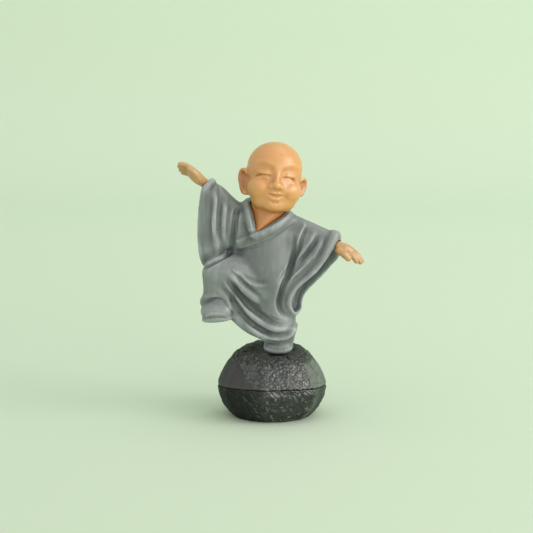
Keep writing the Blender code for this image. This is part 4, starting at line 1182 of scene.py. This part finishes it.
def dotted(paint, spots, radius):
    """1 inside a small round fleck at each spot, with soft edges."""
    total = 0.0
    for spot in spots:
        distance = paint.add(
            "ShaderNodeVectorMath", {0: paint.place, 1: spot}, operation="DISTANCE"
        ).outputs["Value"]
        total = paint.math("ADD", total, paint.spread(distance, radius * 1.25, radius * 0.7))
    return paint.math("MINIMUM", total, 1.0)


def robe_paint(flecks):
    """Grey paint, darker in its creases, where dark paint is run in and painted shade is added, and paler on
    its ridges, which are dry-brushed and have painted highlights.
    """
    paint = Paint("robe_paint")
    cloudy = paint.noise(170, 4, 0.55)
    brushed = paint.noise(1, 4, 0.6, paint.stretched((900, 900, 190), (0, 0.5, 0)))
    grainy = paint.noise(2600, 3, 0.6)
    # The tone has painted shade in the creases over their dark paint, and painted highlights with
    # dry-brushing on the ridges. It also has the front's painted highlights, painted shade and wear.
    painted_shade_and_wash, pale = paint.marked("painted_shade_and_wash"), paint.marked("painted_light_and_wear")
    tone = paint.summed(
        0.283, (painted_shade_and_wash, -0.42), (cloudy, 0.16), (brushed, 0.22), (grainy, 0.07), (pale, 0.2)
    )
    colour = paint.ramp(tone, (
        (0.0, (0.030, 0.036, 0.034)), (1.0, (0.54, 0.58, 0.59)), (0.2, (0.060, 0.071, 0.067)),
        (0.36, (0.105, 0.120, 0.115)), (0.5, (0.150, 0.168, 0.163)), (0.64, (0.215, 0.238, 0.235)),
        (0.82, (0.350, 0.382, 0.384)),
    ))
    spots = dotted(paint, flecks, ROBE_FLECK)
    pits = paint.add("ShaderNodeTexVoronoi", {"Vector": paint.place, "Scale": 300})
    rare = paint.math("GREATER_THAN", paint.add(
        "ShaderNodeSeparateColor", {"Color": pits.outputs["Color"]}
    ).outputs[0], 0.86)
    tiny = paint.spread(pits.outputs["Distance"], 0.045, 0.025)
    spots = paint.math("MAXIMUM", spots, paint.math("MULTIPLY", rare, tiny))
    colour = paint.mixed(spots, colour, (0.02, 0.022, 0.02, 1))
    rough = paint.spread(paint.math("ADD", cloudy, grainy), 0.6, 1.4, 0.34, 0.48)
    height = paint.summed(grainy, (brushed, 0.6), (spots, -3.0))
    return paint.finish(
        Base_Color=colour, Roughness=rough, Normal=paint.bumped(0.35, 0.00005, height),
        Specular_IOR_Level=0.6,
    )


def skin_paint(name, flecks, tint):
    """Satin skin-coloured plastic, with painted shade in its hollows and a darker, more orange painted shade
    on the ears and the neck.
    """
    paint = Paint(name)
    cloudy = paint.noise(120, 3, 0.5)
    grainy = paint.noise(2400, 2, 0.5)
    # Painted shade in the hollows of the skin
    tone = paint.summed(0.43, (paint.marked("painted_shade_and_wash"), -0.5), (cloudy, 0.14))
    colour = paint.ramp(tone, (
        (0.0, (0.28, 0.085, 0.022)), (1.0, (0.86, 0.52, 0.27)), (0.22, (0.44, 0.168, 0.052)),
        (0.42, (0.62, 0.290, 0.105)), (0.55, (0.70, 0.352, 0.140)), (0.78, (0.78, 0.425, 0.192)),
    ))
    # Darker orange painted on the throat, as shade under the chin, and on the ears, as light glowing through
    # them
    painted_warm_shade = paint.math("MULTIPLY", paint.marked("painted_warm_shade"), 0.85)
    colour = paint.mixed(painted_warm_shade, colour, (0.74, 0.55, 0.30, 1), "MULTIPLY")
    colour = paint.mixed(1.0, colour, (*tint, 1), "MULTIPLY")
    spots = dotted(paint, flecks, SKIN_FLECK)
    colour = paint.mixed(spots, colour, (0.05, 0.03, 0.02, 1))
    rough = paint.spread(paint.math("ADD", cloudy, grainy), 0.6, 1.4, 0.35, 0.45)
    return paint.finish(
        Base_Color=colour, Roughness=rough, Normal=paint.bumped(0.2, 0.00003, grainy),
        Subsurface_Weight=0.12, Subsurface_Radius=(1.0, 0.45, 0.2), Subsurface_Scale=0.0012,
        Specular_IOR_Level=1.0, Coat_Weight=0.5, Coat_Roughness=0.42,
    )


def rock_paint():
    """Black plastic cast from a stone: dull, with one facet glossy, with painted shade in its cracks and
    below the seam, a painted reflection on its pale side and painted sheen on the slanting streaks below the
    seam.
    """
    paint = Paint("rock_paint")
    cloudy = paint.noise(140, 5, 0.6)
    grainy = paint.noise(1500, 4, 0.65)
    patchy = paint.noise(420, 3, 0.6)
    mottled = paint.spread(paint.math("ADD", patchy, grainy), 0.8, 1.2, 0.4, 0.9)
    # Painted shade in the rock's cracks and creases
    tone = paint.summed(0.125, (paint.marked("painted_shade_and_wash"), -0.35), (cloudy, 0.5), (grainy, 0.25))
    colour = paint.ramp(tone, (
        (0.0, (0.008, 0.009, 0.008)), (1.0, (0.115, 0.125, 0.110)), (0.35, (0.022, 0.025, 0.022)),
        (0.55, (0.040, 0.044, 0.039)), (0.75, (0.066, 0.072, 0.064)),
    ))
    # Below the seam the rock is painted darker and greener: painted shade where it faces down towards the
    # green floor
    colour = paint.mixed(paint.marked("lower"), colour, (0.15, 0.21, 0.17, 1), "MULTIPLY")
    # The pale side is a painted reflection of the bright room; the dull face has its own purple-grey
    for place, shade in (("pale", (0.19, 0.225, 0.185, 1)), ("dull", (0.070, 0.062, 0.068, 1))):
        colour = paint.mixed(paint.math("MULTIPLY", paint.marked(place), mottled), colour, shade)
    # Painted sheen: the slanting streaks below the seam are painted paler, as if they caught the light
    colour = paint.mixed(paint.marked("painted_sheen_streak"), colour, (0.17, 0.185, 0.18, 1))
    shine = paint.math("MULTIPLY", paint.marked("gloss"), paint.spread(patchy, 0.35, 0.6, 0.45, 1.0))
    rough = paint.spread(shine, 0.0, 1.0, 0.66, 0.15)
    height = paint.summed(0.0, (grainy, 0.5), (paint.noise(900, 4, 0.6), 1.0))
    return paint.finish(
        Base_Color=colour, Roughness=rough, Normal=paint.bumped(0.5, 0.00016, height),
        Specular_IOR_Level=paint.spread(shine, 0.0, 1.0, 0.3, 0.95),
    )


def chipped(points, size, stretch, turn, crack=0.35):
    """A height for each place, as if each patch of the surface were broken off at its own slant.

    The patches are of the given size and stretch, and the turn sets one pattern off from
    another. The crack is how deep the surface goes down between two patches.
    """
    noise.seed_set(NOISE_SEED)
    lean = Matrix.Rotation(turn, 3, "Z") @ Matrix.Rotation(turn * 0.7, 3, "X")
    heights = np.empty(len(points))
    for i, point in enumerate(points):
        place = lean @ Vector([along / stretch[axis] for axis, along in enumerate(point)])
        place /= size
        place += noise.noise_vector(place * BEND_SCALE) * BEND
        gaps, cores = noise.voronoi(place)
        slant = noise.cell_vector(cores[0] * SLANT_SCALE)
        edge = min((gaps[1] - gaps[0]) * EDGE_STEEPNESS, 1)
        heights[i] = (place - cores[0]).dot(slant) * edge - crack * (1 - edge)
    return heights


def stone(name, mesh):
    """A half of the rock in fine faces: chipped on top, hammered on the front, flat at the seam."""
    mesh = modified(
        mesh,
        ("REMESH", {"mode": "VOXEL", "voxel_size": ROCK_GRAIN}),
        ("SMOOTH", {"factor": 0.5, "iterations": 6}),
    )
    points = points_of(mesh)
    normals = points_of(mesh, "normal")
    height = points[:, 2]
    turn = np.degrees(np.arctan2(points[:, 1] / ROCK_DEPTH, points[:, 0] / ROCK_WIDTH)) % 360
    seam_height = SEAM_HEIGHT + points[:, 1] * math.tan(SEAM_TILT)

    # What the chips may move: not the level faces at the seam and not the underside
    at_seam = (np.abs(height - seam_height) < SEAM_BAND) & (np.abs(normals[:, 2]) > 0.9)
    free = np.where(at_seam | (height < BASE_BAND), 0, 1) * smoothstep(0, 0.0012, height)

    # The shares of the kinds of surface in each place
    top = smoothstep(0.55, 0.9, normals[:, 2]) * free
    off_foot = np.hypot(points[:, 0] - FOOT_OFFSET, points[:, 1] * 0.9)
    under_foot = smoothstep(SEAT_EDGE, SEAT_FLAT, off_foot)
    above = smoothstep(0.0, 0.0006, height - seam_height)
    lean = BORDER_LEAN[0] + BORDER_LEAN[1] * np.maximum((height - seam_height) / ROCK_HEIGHT, 0)
    blur = SEAM_BLUR * (1 - above)
    glossy = smoothstep(GLOSSY_START[0] - blur, GLOSSY_START[1] + blur, turn + lean)
    glossy *= 1 - smoothstep(GLOSSY_END[0], GLOSSY_END[1] + blur, turn)
    dull = smoothstep(*SANDY_START, turn) * (1 - smoothstep(*SANDY_END, turn + lean)) * above
    side = (smoothstep(*GLOSSY_END, turn) + (1 - smoothstep(*PALE_END, turn))) * (0.3 + 0.7 * above)

    # Coarse chips everywhere, small ones on the front and the top, slanting streaks below the seam
    coarse = chipped(points, 0.0034, (1, 1, 1), 0.7, 0.08)
    small = chipped(points, 0.0012, (1, 1, 1.1), 2.1)
    along, across = math.cos(STREAK_LEAN), math.sin(STREAK_LEAN)
    leaning = points @ np.array([(along, 0, -across), (0, 1, 0), (across, 0, along)])
    slanted = chipped(leaning, 0.0009, (3.2, 1.6, 1.0), 4.2)
    rise = (
        coarse * (0.00024 * (1 - 0.85 * dull) + 0.00035 * top)
        + small * (0.00003 + 0.00012 * top + (0.00038 * glossy + 0.00012 * side) * above)
        + slanted * (0.00008 + 0.00028 * glossy) * (1 - above)
        - SEAT_DEPTH * top * under_foot
    )
    rise = rise * free * (1 - under_foot * top)
    move_to(mesh, points + normals * rise[:, None])

    fine, broad = creases(mesh, 4, 40)
    # Painted shade in the rock's cracks and creases
    mark(mesh, "painted_shade_and_wash", np.clip(0.6 * fine / FINE_CHIP + 0.4 * broad / BROAD_CHIP, -1, 1))
    mark(mesh, "gloss", np.clip(glossy * (1 - 0.6 * top), 0, 1))
    # Below the seam: painted shade
    mark(mesh, "lower", 1 - above)
    # The pale side: painted reflection
    mark(mesh, "pale", np.clip(side * (1 - top), 0, 1))
    mark(mesh, "dull", np.clip(dull * (1 - top), 0, 1))
    # Painted sheen on the slanting streaks below the seam
    mark(mesh, "painted_sheen_streak", smoothstep(0.12, 0.42, slanted) * (0.15 + 0.55 * glossy) * (1 - above))
    return mesh


# Each lamp: its name, place, target, width, power and colour
LAMPS = (
    ("key", (0.87, -0.31, 0.46), (0, 0, 0.045), 0.56, 4.5, (1.0, 0.97, 0.94)),
    ("fill", (0.36, -0.56, 0.12), (0, 0, 0.045), 0.45, 1.3, (1.0, 0.98, 0.97)),
    ("sweep_light", (0.25, 0.25, 0.95), (0, 0.72, 0.2), 0.5, 0.9, (1.0, 0.99, 0.98)),
)
# The light of the room round about: its colour and strength
ROOM_LIGHT = (0.95, 0.95, 0.93, 1)
ROOM_STRENGTH = 0.86

# The sweep: half width, front edge, where it starts to bend, its bend and its top
SWEEP_SIDE = 1.6
SWEEP_FRONT = -1.2
BEND_START = 0.45
BEND_RADIUS = 0.30
SWEEP_TOP = 1.6
# The sweep lies a hair under the rock, so that the two never share a plane
SWEEP_DROP = 0.00002


def lit_by(name, place, target, size, energy, colour):
    """A soft square lamp that faces the target."""
    lamp = bpy.data.lights.new(name, "AREA")
    lamp.size = size
    lamp.energy = energy
    lamp.color = colour
    holder = placed(name, lamp)
    holder.location = place
    holder.rotation_mode = "QUATERNION"
    holder.rotation_quaternion = (Vector(target) - Vector(place)).to_track_quat("-Z", "Y")


def studio():
    """The pale seamless sweep, the soft light from the upper right and the camera."""
    sweep = bmesh.new()
    bend = [
        (BEND_START + BEND_RADIUS * math.sin(t), BEND_RADIUS * (1 - math.cos(t)))
        for t in np.radians(np.linspace(0, 90, 25))
    ]
    profile = [(SWEEP_FRONT, 0), *bend, (BEND_START + BEND_RADIUS, SWEEP_TOP)]
    rows = [
        [sweep.verts.new((x, y, z - SWEEP_DROP)) for x in (-SWEEP_SIDE, SWEEP_SIDE)]
        for y, z in profile
    ]
    for front, back in zip(rows, rows[1:]):
        sweep.faces.new((front[0], front[1], back[1], back[0]))
    mesh = bpy.data.meshes.new("sweep")
    sweep.to_mesh(mesh)
    sweep.free()
    paper = Paint("paper")
    tint = paper_tint(paper)
    smooth_in(mesh, paper.finish(Base_Color=tint, Roughness=0.9, Specular_IOR_Level=0.1))
    placed("sweep", mesh)

    for lamp in LAMPS:
        lit_by(*lamp)
    world = bpy.data.worlds.new("room")
    bpy.context.scene.world = world
    world.use_nodes = True
    sky = world.node_tree.nodes["Background"]
    sky.inputs["Color"].default_value = ROOM_LIGHT
    sky.inputs["Strength"].default_value = ROOM_STRENGTH

    camera = bpy.data.cameras.new("camera")
    camera.sensor_width = SENSOR
    camera.lens = SENSOR * CAMERA_DISTANCE / PICTURE_SPAN
    eye = placed("camera", camera)
    away = Vector((0, -math.cos(VIEW_TILT), math.sin(VIEW_TILT)))
    eye.location = Vector(CAMERA_TARGET) + away * CAMERA_DISTANCE
    eye.rotation_euler = (math.pi / 2 - VIEW_TILT, 0, 0)
    bpy.context.scene.camera = eye


def paper_tint(paper):
    """Pale green, with painted light: palest far back on the floor and a deeper green where the sweep
    climbs.
    """
    parts = paper.add("ShaderNodeSeparateXYZ", {"Vector": paper.place}).outputs
    cloudy = paper.math("MULTIPLY", paper.noise(3, 2, 0.5), 0.02)
    # Painted light: the floor is paler towards the back, the climbing sweep deeper
    back = paper.spread(paper.math("ADD", parts["Y"], cloudy), -0.1, 0.35)
    climb = paper.spread(paper.math("ADD", parts["Z"], cloudy), 0.0, 0.09)
    floor = paper.mixed(back, (0.60, 0.70, 0.55, 1), (0.675, 0.79, 0.63, 1))
    return paper.mixed(climb, floor, (0.63, 0.755, 0.57, 1))


def in_place(carver, *spots):
    """Where the drawing's spots lie on the surface, in metres."""
    return [Vector(carver.under(spot)) * UNIT + STAND for spot in spots]


def finished_robe(robe):
    """The robe with its fine folds, painted, with painted shade in its creases and painted highlights,
    painted shade and wear on its front.
    """
    carver = Carver(robe)
    carver.strokes(FINE_FOLDS)
    flecks = in_place(carver, *ROBE_FLECKS)
    robe = whole(carver.done())
    across, up = drawn_places(robe)
    (u, v), (wide, tall) = SMOOTH_SLEEVE
    off_sleeve = np.hypot((across - u) / wide, (up - v) / tall)
    calmed(robe, 0.8 * smoothstep(1.0, 0.6, off_sleeve), 30)
    # Painted highlights and painted shade, with some wear, on the robe's front
    mark(robe, "painted_light_and_wear", painted_light_and_wear(robe))
    in_metres(robe)
    paint_crease_shade(robe)
    dressed("robe_painted", robe, "robe", robe_paint(flecks))


def finished_skin(name, mesh, painted_warm_shade, material):
    """The head or a hand, painted, with painted shade in its creases and its darker, warmer painted shade.
    """
    mark(mesh, "painted_warm_shade", painted_warm_shade)
    in_metres(mesh)
    paint_crease_shade(mesh)
    dressed(name + "_painted", mesh, name, material)


def finished_head(head):
    """The head with the small forms of its face, a calm cheek, and darker, warmer painted shade on its ears
    and throat.
    """
    carver = Carver(head, HEAD_TURN, HEAD_CENTRE)
    for place, radii, height in FACE_HOLLOWS:
        carver.press(place, radii, height)
    carver.strokes(FACE_CREASES)
    head = carver.done()
    flecks = in_place(Carver(head), HEAD_FLECK)
    local = (points_of(head) - np.array(HEAD_CENTRE)) @ np.array(HEAD_TURN)
    # Painted shade under the chin, growing towards the throat
    painted_warm_shade = smoothstep(*THROAT, local[:, 2])
    # The ears get it too, a painted glow of light through their thin shells
    for side, middle, tall in EARS:
        off_ear = (local - (side * 14.2, 3.2, middle)) / (2.6, 3.4, 7.2 * tall)
        painted_warm_shade = np.maximum(painted_warm_shade, smoothstep(1.1, 0.7, np.linalg.norm(off_ear, axis=1)))
    off_cheek = np.hypot(local[:, 0] - CHEEK_SPOT[0], local[:, 2] - CHEEK_SPOT[1])
    calmed(head, smoothstep(CHEEK_REACH, CHEEK_REACH / 2, off_cheek) * (local[:, 1] < 0), 40)
    finished_skin("head", head, painted_warm_shade, skin_paint("skin_paint", flecks, HEAD_TINT))


def main():
    head = head_mesh(SKULL_GRAIN)
    hands = {
        "right_hand": hand_mesh(FINGER_GRAIN, RIGHT_HAND),
        "left_hand": hand_mesh(FINGER_GRAIN, LEFT_HAND),
    }
    finished_robe(robe_mesh(ROBE_GRAIN, head, *hands.values()))
    finished_head(head)
    hand_skin = skin_paint("hand_paint", (), HAND_TINT)
    for name, mesh in hands.items():
        finished_skin(name, mesh, [0] * len(mesh.vertices), hand_skin)
    black = rock_paint()
    for name, mesh in rock_halves(VISIBLE_SEAM).items():
        dressed(name + "_cast", stone(name, mesh), name, black)
    studio()
    bpy.context.scene.view_settings.view_transform = "Standard"


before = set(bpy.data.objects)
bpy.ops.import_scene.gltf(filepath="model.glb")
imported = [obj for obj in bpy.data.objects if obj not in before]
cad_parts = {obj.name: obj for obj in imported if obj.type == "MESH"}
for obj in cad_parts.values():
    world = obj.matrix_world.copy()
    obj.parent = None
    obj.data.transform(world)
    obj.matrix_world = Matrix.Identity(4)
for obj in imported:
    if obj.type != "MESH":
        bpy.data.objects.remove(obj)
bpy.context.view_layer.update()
main()
